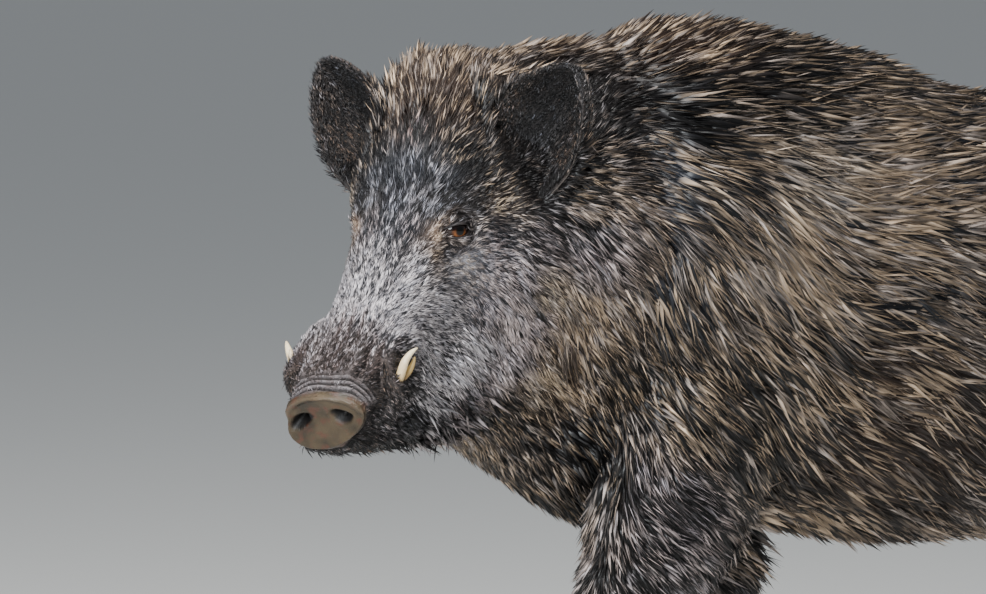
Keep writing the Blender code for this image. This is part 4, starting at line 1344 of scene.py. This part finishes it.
def bumped(graph, height, distance, strength):
    """A normal from a height."""
    return graph.node("ShaderNodeBump", {}, {"Height": height, "Distance": distance, "Strength": strength})


def pattern(graph, scale, detail, place=None):
    """Noise from 0 to 1, over the object's own coordinates if no place is given."""
    place = place or graph.node("ShaderNodeTexCoord").other("Object")
    inputs = {"Vector": place, "Scale": scale, "Detail": detail, "Roughness": 0.5}
    return graph.node("ShaderNodeTexNoise", {}, inputs)


def coat_finish(graph):
    """Bristles: black roots and pale tips on some, most of all along the ridges of the coat, with shade
    painted in the valleys between ridges and along each tuft's sides.
    """
    along = level(graph, "along")
    across = level(graph, "across")
    whim = level(graph, "whim")
    lock = level(graph, "lock")
    ridge = level(graph, "ridge")
    pale = level(graph, "pale")
    light = ((pale * 0.90 - whim * 0.32 - (1 - ridge) * 0.68) * 3.2 + 0.5).clipped(0, 1)
    start = (whim * 7.31).fraction() * 0.25
    share = (along - start).clipped(0.20, 0.55) * light
    cool = (lock * 5.3).fraction().clipped(0.50, 0.75) * 0.35
    tip = graph.mix(cool, look(graph, "tip_tone"), (0.300, 0.330, 0.410))
    colour = graph.mix(share, look(graph, "root_tone"), tip)
    # painted shade along each tuft's sides, for the dark gaps between strands
    edge = ((across - 0.5).size() * 2).clipped(0.30, 0.95)
    # a random tone, times painted shade in the streaks' valleys and along each tuft's sides
    shade = ((whim * 13.7).fraction() * 0.8 + 0.7) * (ridge * 0.5 + 0.6) * (1 - edge * 0.5)
    colour = graph.mix(1.0, colour, graph.grey(shade), "MULTIPLY")
    principled(graph, {"Base Color": colour, "Roughness": 0.42, "Specular IOR Level": 0.32})


def skin_finish(graph):
    """Dark hide under the coat, with its markings, and the bare skin of the snout, lips and lids, with
    shade painted in the wrinkles' grooves and inside the nostrils and a highlight painted along the disc's
    upper rim.
    """
    bare = level(graph, "bare")
    disc = level(graph, "disc")
    lid = level(graph, "lid")
    pit = level(graph, "pit")
    spots = pattern(graph, 90, 3)
    blots = pattern(graph, 38, 2)
    fine = pattern(graph, 700, 3)
    hide = graph.mix(0.12, look(graph, "root_tone"), look(graph, "tip_tone"))
    hide = graph.mix(spots.clipped(0.35, 0.75) * 0.5, hide, (0.010, 0.009, 0.009))
    rind = graph.mix(fine.clipped(0.35, 0.70), (0.050, 0.042, 0.044), (0.200, 0.180, 0.185))
    rind = graph.mix(spots.clipped(0.45, 0.65) * 0.5, rind, (0.070, 0.038, 0.030))
    # painted shade in the wrinkles' grooves
    rind = graph.mix(level(graph, "groove").clipped(0.25, 0.85), rind, (0.010, 0.008, 0.008))
    snout = graph.mix(blots.clipped(0.35, 0.65), (0.050, 0.034, 0.017), (0.017, 0.012, 0.006))
    snout = graph.mix(spots.clipped(0.52, 0.66) * 0.6, snout, (0.060, 0.018, 0.010))
    # painted highlight along the disc's upper rim
    snout = graph.mix(level(graph, "rim") * 0.5, snout, (0.110, 0.082, 0.055))
    snout = graph.mix(fine.clipped(0.55, 0.75) * 0.6, snout, (0.028, 0.020, 0.014))
    # painted shade: the nostrils' insides near-black
    snout = graph.mix(pit, snout, (0.0015, 0.001, 0.001))
    colour = graph.mix(bare, hide, rind)
    colour = graph.mix(disc, colour, snout)
    lids = graph.mix(spots.clipped(0.3, 0.7), (0.008, 0.007, 0.008), (0.026, 0.020, 0.019))
    colour = graph.mix(lid, colour, lids)
    rough = 0.66 - bare * 0.14 - disc * 0.20 + pit * 0.20 - lid * 0.04 + fine * 0.1
    bump = bumped(graph, fine * 0.6 + spots * 0.6, 0.0010, 0.8)
    inputs = {"Base Color": colour, "Roughness": rough, "Specular IOR Level": 0.30, "Normal": bump}
    principled(graph, inputs)


def eye_finish(graph):
    """Dark amber iris with rays, a black pupil and a brown rim, under a wet gloss, with the upper lid's
    shadow painted over the iris's top.
    """
    reach = level(graph, "from_pupil")
    rays = pattern(graph, 420, 2)
    iris = graph.mix(rays.clipped(0.35, 0.65), (0.045, 0.014, 0.004), (0.160, 0.052, 0.011))
    iris = graph.mix(reach.clipped(0.44, 0.66), iris, (0.014, 0.006, 0.003))
    # painted shade: the iris darkens towards its top, for the shadow of the upper lid
    iris = graph.mix(level(graph, "above").clipped(-0.12, 0.16), iris, (0.004, 0.002, 0.002))
    colour = graph.mix(reach.clipped(0.24, 0.38), (0.001, 0.001, 0.001), iris)
    colour = graph.mix(reach.clipped(0.64, 0.76), colour, (0.020, 0.013, 0.011))
    principled(graph, {"Base Color": colour, "Roughness": 0.05, "Specular IOR Level": 0.22})


def ivory_finish(graph):
    """Cream tusk, yellower and browner towards its root, most of all on the upper ones."""
    root = level(graph, "from_tip")
    upper = level(graph, "upper")
    grain = pattern(graph, 260, 4)
    stain = pattern(graph, 60, 2)
    colour = graph.mix(grain.clipped(0.3, 0.7), (0.600, 0.470, 0.280), (0.700, 0.590, 0.400))
    colour = graph.mix(root.clipped(0.25, 0.75) * 0.8, colour, (0.420, 0.270, 0.090))
    colour = graph.mix(upper * 0.85, colour, (0.340, 0.220, 0.060))
    colour = graph.mix((root + stain - 0.5).clipped(0.55, 1.05), colour, (0.200, 0.115, 0.045))
    colour = graph.mix(stain.clipped(0.60, 0.72) * 0.6, colour, (0.160, 0.085, 0.035))
    rough = 0.32 + grain * 0.15
    bump = bumped(graph, grain, 0.0003, 0.5)
    principled(graph, {"Base Color": colour, "Roughness": rough, "Normal": bump})


def hoof_finish(graph):
    """Dark worn horn with growth rings and paler scuffs at the ground."""
    place = graph.node("ShaderNodeTexCoord").other("Object")
    height = graph.node("ShaderNodeSeparateXYZ", {}, {"Vector": place}).other("Z")
    rings = (height * 1500 + pattern(graph, 60, 2) * 6).sine()
    grain = pattern(graph, 350, 4)
    colour = graph.mix(grain.clipped(0.35, 0.7), (0.018, 0.015, 0.014), (0.060, 0.047, 0.038))
    colour = graph.mix(height.clipped(0.010, 0.0) * grain, colour, (0.150, 0.125, 0.100))
    rough = 0.45 + grain * 0.2
    bump = bumped(graph, rings * 0.4 + grain, 0.0005, 0.6)
    principled(graph, {"Base Color": colour, "Roughness": rough, "Normal": bump})


FINISHES = {
    "bristles": coat_finish,
    "hide": skin_finish,
    "eyeball": eye_finish,
    "tusk": ivory_finish,
    "horn": hoof_finish,
}


def finish(name):
    """The material of that name, made the first time it is asked for."""
    if name in bpy.data.materials:
        return bpy.data.materials[name]
    made = bpy.data.materials.new(name)
    made.use_nodes = True
    made.node_tree.nodes.clear()
    FINISHES[name](Graph(made.node_tree))
    return made


# ---------------------------------------------------------------- eyes, tusks and hooves

EYE_SEGMENTS = (48, 32)
CORNEA = 0.035  # how far it bulges, as a share of the eye's radius
CORNEA_REACH = 0.62  # radians from the gaze to its edge
ROUNDING = 2  # levels of subdivision of tusks, hooves and dewclaws
SOLE_EDGE = 0.0005  # edges of a hoof below this height stay sharp


def eyeball(side, sign):
    """An eyeball with a bulging cornea, and fields for the angle from its pupil and the height, by which
    the upper lid's shadow is painted on the iris.
    """
    axes = eye_axes(sign)
    shape = bmesh.new()
    around, down = EYE_SEGMENTS
    bmesh.ops.create_uvsphere(shape, u_segments=around, v_segments=down, radius=1.0)
    turn = Matrix.Rotation(math.radians(90), 4, "Y")
    bmesh.ops.transform(shape, matrix=turn, verts=shape.verts)
    apart = []
    above = []
    for vertex in shape.verts:
        off = math.acos(max(min(vertex.co.x, 1), -1))
        apart.append(off)
        above.append(vertex.co.z)
        bulge = 1 + CORNEA * max(1 - (off / CORNEA_REACH) ** 2, 0)
        vertex.co = axes @ (vertex.co * EYE_RADIUS * bulge)
    if sign < 0:  # its axes are mirrored, so its faces are turned back out
        bmesh.ops.reverse_faces(shape, faces=shape.faces)
    mesh = bpy.data.meshes.new("eyeball")
    shape.to_mesh(mesh)
    shape.free()
    mesh.shade_smooth()
    store(mesh, "from_pupil", apart)
    # the height on the eye, by which the finish paints the upper lid's shadow over the iris
    store(mesh, "above", above)
    obj = new_object(f"eyeball_{side}", mesh, finish("eyeball"))
    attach(obj, "root")
    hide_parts(f"eye_{side}")


def rounded(node, material, sharp_below=-math.inf):
    """A copy of a node with its facets rounded off, but for its edges below a height."""
    shape = welded(node)
    crease = shape.edges.layers.float.new("crease_edge")
    for edge in shape.edges:
        if all(vertex.co.z < sharp_below for vertex in edge.verts):
            edge[crease] = 1.0
    mesh = bpy.data.meshes.new(node)
    shape.to_mesh(mesh)
    shape.free()
    obj = new_object(f"fine_{node}", mesh)
    soft = obj.modifiers.new("round", "SUBSURF")
    soft.levels = ROUNDING
    soft.render_levels = ROUNDING
    settled(obj)
    obj.data.shade_smooth()
    obj.data.materials.clear()
    obj.data.materials.append(finish(material))
    return obj


def fine_tusk(name, side):
    """A rounded tusk, with fields for the distance from its tip and for which one it is."""
    node = f"tusk_{name}_{side}"
    obj = rounded(node, "tusk")
    points, _, _ = arrays(obj.data)
    top = points[points[:, 2].argmax()]
    gap = np.linalg.norm(points - top, axis=1)
    store(obj.data, "from_tip", gap / gap.max())
    store(obj.data, "upper", np.full(len(points), name == "upper"))
    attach(obj, "root")
    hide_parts(node)


def fine_hoof(node):
    """A rounded hoof, sharp round its sole, or a rounded dewclaw."""
    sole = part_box(node)[0].z + SOLE_EDGE if node.startswith("hoof") else -math.inf
    obj = rounded(node, "horn", sole)
    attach(obj, "root")
    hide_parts(node)


# ---------------------------------------------------------------- the stage

FLOOR_HALF = 30.0  # half its width
LAMP_AIM = (0.15, 0, 0.6)
FRONT_LAMP = 1.50  # its power against the overhead lamp's


def lamp(name, place, size, power, colour):
    """A round soft lamp, turned to the boar."""
    light = bpy.data.lights.new(name, "AREA")
    light.shape = "DISK"
    light.size = size
    light.energy = power
    light.color = colour
    obj = bpy.data.objects.new(name, light)
    bpy.context.scene.collection.objects.link(obj)
    obj.location = place
    obj.rotation_euler = (Vector(LAMP_AIM) - Vector(place)).to_track_quat("-Z", "Y").to_euler()


def plain_finish(name, colour, rough):
    """A material of one colour."""
    made = bpy.data.materials.new(name)
    made.use_nodes = True
    shader = made.node_tree.nodes["Principled BSDF"]
    shader.inputs["Base Color"].default_value = (*colour, 1)
    shader.inputs["Roughness"].default_value = rough
    return made


def set_stage(settings):
    """A pale floor, soft light from above and in front, and the camera."""
    mesh = bpy.data.meshes.new("floor")
    corners = [(x * FLOOR_HALF, y * FLOOR_HALF, 0) for x, y in ((-1, -1), (1, -1), (1, 1), (-1, 1))]
    mesh.from_pydata(corners, [], [(0, 1, 2, 3)])
    floor = new_object("floor", mesh, plain_finish("floor", (0.60, 0.60, 0.58), 0.9))
    world = bpy.data.worlds.new("sky")
    bpy.context.scene.world = world
    world.use_nodes = True
    sky = world.node_tree.nodes["Background"]
    sky.inputs["Color"].default_value = (*settings.sky_colour, 1)
    sky.inputs["Strength"].default_value = settings.sky_strength
    power = settings.lamp_power
    lamp("lamp_over", (0.8, 1.2, 4.2), 3.5, power, (1.0, 0.985, 0.96))
    lamp("lamp_front", (4.0, 3.0, 2.0), 2.5, power * FRONT_LAMP, (0.93, 0.97, 1.0))
    turn, rise = settings.camera_turn, settings.camera_rise
    flat = math.cos(rise)
    back = Vector((math.sin(turn) * flat, -math.cos(turn) * flat, math.sin(rise)))
    lens = bpy.data.cameras.new("camera")
    lens.sensor_width = 36
    lens.lens = settings.camera_lens
    lens.clip_end = 100
    camera = bpy.data.objects.new("camera", lens)
    bpy.context.scene.collection.objects.link(camera)
    camera.location = Vector(settings.camera_aim) + back * settings.camera_distance
    camera.rotation_mode = "QUATERNION"
    camera.rotation_quaternion = (-back).to_track_quat("-Z", "Y")
    bpy.context.scene.camera = camera


# ---------------------------------------------------------------- settings, operators and panel


class BoarCoatSettings(bpy.types.PropertyGroup):
    """How the coat grows, against the guides"""

    tufts: FloatProperty(
        name="Tufts",
        description="How thickly the coat grows",
        default=1.0,
        min=0.1,
        max=1.3,
    )
    length: FloatProperty(
        name="Length",
        description="Length of the hairs against a winter coat's",
        default=1.0,
        min=0.3,
    )
    width: FloatProperty(
        name="Width",
        description="Width of the tufts against a winter coat's",
        default=1.0,
        min=0.2,
    )
    rise: FloatProperty(
        name="Rise",
        description="How far the tips stand from the skin, against a winter coat's",
        default=1.0,
        min=0.2,
    )
    stray: FloatProperty(
        name="Stray",
        description="How far tufts turn from the lie of the coat",
        default=0.16,
        unit="ROTATION",
    )
    sway: FloatProperty(
        name="Sway",
        description="How far whole locks turn from the lie of the coat",
        default=0.5,
        unit="ROTATION",
    )
    bow: FloatProperty(
        name="Bow",
        description="How far locks bow sideways, as a share of their length",
        default=0.22,
    )
    streaks: FloatProperty(
        name="Streaks",
        description="Ridges of hair to the metre, across the lie",
        default=300.0,
    )
    gather: FloatProperty(
        name="Gather",
        description="How far neighbouring tips draw together",
        default=0.28,
    )
    seed: IntProperty(
        name="Seed",
        description="Which random coat is made",
        default=7,
    )


class BoarStageSettings(bpy.types.PropertyGroup):
    """Where the camera stands, and the light"""

    camera_turn: FloatProperty(
        name="Turn",
        description="How far round the boar it stands, 0 looking along +Y",
        default=math.radians(155),
        unit="ROTATION",
    )
    camera_rise: FloatProperty(
        name="Rise",
        description="How far it stands above the level",
        default=math.radians(4),
        unit="ROTATION",
    )
    camera_distance: FloatProperty(
        name="Distance",
        description="From what it looks at",
        default=8.0,
        unit="LENGTH",
    )
    camera_lens: FloatProperty(
        name="Lens",
        description="Focal length in millimetres",
        default=292.1,
        unit="CAMERA",
    )
    camera_aim: FloatVectorProperty(
        name="Aim",
        description="The point in the middle of the view",
        default=(0.377, -0.079, 0.648),
        subtype="XYZ",
    )
    lamp_power: FloatProperty(
        name="Lamp",
        description="Power of the soft lamp overhead, in watts",
        default=320.0,
        unit="POWER",
    )
    sky_strength: FloatProperty(
        name="Sky",
        description="Strength of the light from all round",
        default=0.38,
    )
    sky_colour: FloatVectorProperty(
        name="Sky colour",
        description="Colour of that light",
        default=(0.86, 0.92, 1.0),
        subtype="COLOR",
    )


class BOAR_OT_skin(bpy.types.Operator):
    """One skin for all the nodes of flesh, with lids, lips and the snout's disc"""

    bl_idname = "boar.skin"
    bl_label = "Skin"

    def execute(self, context):
        obj = joined_flesh()
        soften(obj)
        points, normals, _ = arrays(obj.data)
        comb = Comb(points, normals)
        sink(obj, comb)
        thin_out(obj, SKIN_TRIANGLES)
        refine(obj)
        fold_face(obj)
        shape_disc(obj)
        add_lids(obj)
        obj.data.materials.clear()
        obj.data.materials.append(finish("hide"))
        obj.data.shade_smooth()
        unwrap(obj)
        points, normals, _ = arrays(obj.data)
        comb_skin(obj, Comb(points, normals))
        turn_disc(obj)
        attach(obj, "root")
        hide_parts(*FLESH)
        return {"FINISHED"}


class BOAR_OT_coat(bpy.types.Operator):
    """Tufts over the skin, region by region"""

    bl_idname = "boar.coat"
    bl_label = "Coat"

    def execute(self, context):
        chosen = context.scene.boar_coat
        store_roots()
        skin = bpy.data.objects["skin"].data
        wants = {
            "Tufts": PER_SQUARE_METRE * chosen.tufts,
            "Length": chosen.length,
            "Width": chosen.width,
            "Rise": chosen.rise,
            "Stray": chosen.stray,
            "Sway": chosen.sway,
            "Bow": chosen.bow,
            "Gather": chosen.gather,
        }
        regions = [name for name in skin.attributes.keys() if name.startswith("coat_")]
        for number, region in enumerate(regions):
            finer = FINER.get(region.removesuffix("_left").removesuffix("_right"), 1.0)
            seed = chosen.seed + SEED_STEP * number
            grow_coat(region, region, **wants, Streaks=chosen.streaks * finer, Seed=seed)
        for name, times in WHISKERS.items():
            wants[name] *= times
        grow_coat("coat_whiskers", "whiskers", **wants, Streaks=chosen.streaks, Seed=chosen.seed)
        bpy.data.objects.remove(bpy.data.objects["tuft"])
        return {"FINISHED"}


class BOAR_OT_eyes(bpy.types.Operator):
    """Both eyeballs"""

    bl_idname = "boar.eyes"
    bl_label = "Eyes"

    def execute(self, context):
        for side, sign in SIDES.items():
            eyeball(side, sign)
        return {"FINISHED"}


class BOAR_OT_tusks(bpy.types.Operator):
    """Upper and lower tusks of both sides"""

    bl_idname = "boar.tusks"
    bl_label = "Tusks"

    def execute(self, context):
        for side in SIDES:
            for name in ("lower", "upper"):
                fine_tusk(name, side)
        return {"FINISHED"}


class BOAR_OT_hooves(bpy.types.Operator):
    """Hooves and dewclaws of all four feet"""

    bl_idname = "boar.hooves"
    bl_label = "Hooves"

    def execute(self, context):
        for node in sorted(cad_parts):
            if node.startswith(("hoof", "dewclaw")):
                fine_hoof(node)
        return {"FINISHED"}


class BOAR_OT_stage(bpy.types.Operator):
    """The floor, the light and the camera"""

    bl_idname = "boar.stage"
    bl_label = "Stage"

    def execute(self, context):
        set_stage(context.scene.boar_stage)
        return {"FINISHED"}


STEPS = (BOAR_OT_stage, BOAR_OT_skin, BOAR_OT_coat, BOAR_OT_eyes, BOAR_OT_tusks, BOAR_OT_hooves)


class BOAR_PT_panel(bpy.types.Panel):
    """The settings, and a button for each step"""

    bl_idname = "BOAR_PT_panel"
    bl_label = "Wild Boar"
    bl_space_type = "VIEW_3D"
    bl_region_type = "UI"
    bl_category = "Boar"

    def draw(self, context):
        for settings in (context.scene.boar_coat, context.scene.boar_stage):
            for name in settings.bl_rna.properties.keys():
                if name not in ("rna_type", "name"):
                    self.layout.prop(settings, name)
        for step in STEPS:
            self.layout.operator(step.bl_idname)


CLASSES = (BoarCoatSettings, BoarStageSettings, *STEPS, BOAR_PT_panel)


def register():
    """Registers the classes and gives the scene its settings."""
    for cls in CLASSES:
        bpy.utils.register_class(cls)
    bpy.types.Scene.boar_coat = PointerProperty(type=BoarCoatSettings)
    bpy.types.Scene.boar_stage = PointerProperty(type=BoarStageSettings)


def unregister():
    """Undoes what register did."""
    del bpy.types.Scene.boar_coat
    del bpy.types.Scene.boar_stage
    for cls in reversed(CLASSES):
        bpy.utils.unregister_class(cls)


def main():
    """Builds every piece in order."""
    register()
    for step in STEPS:
        group, name = step.bl_idname.split(".")
        getattr(getattr(bpy.ops, group), name)()


if __name__ == "__main__":
    main()
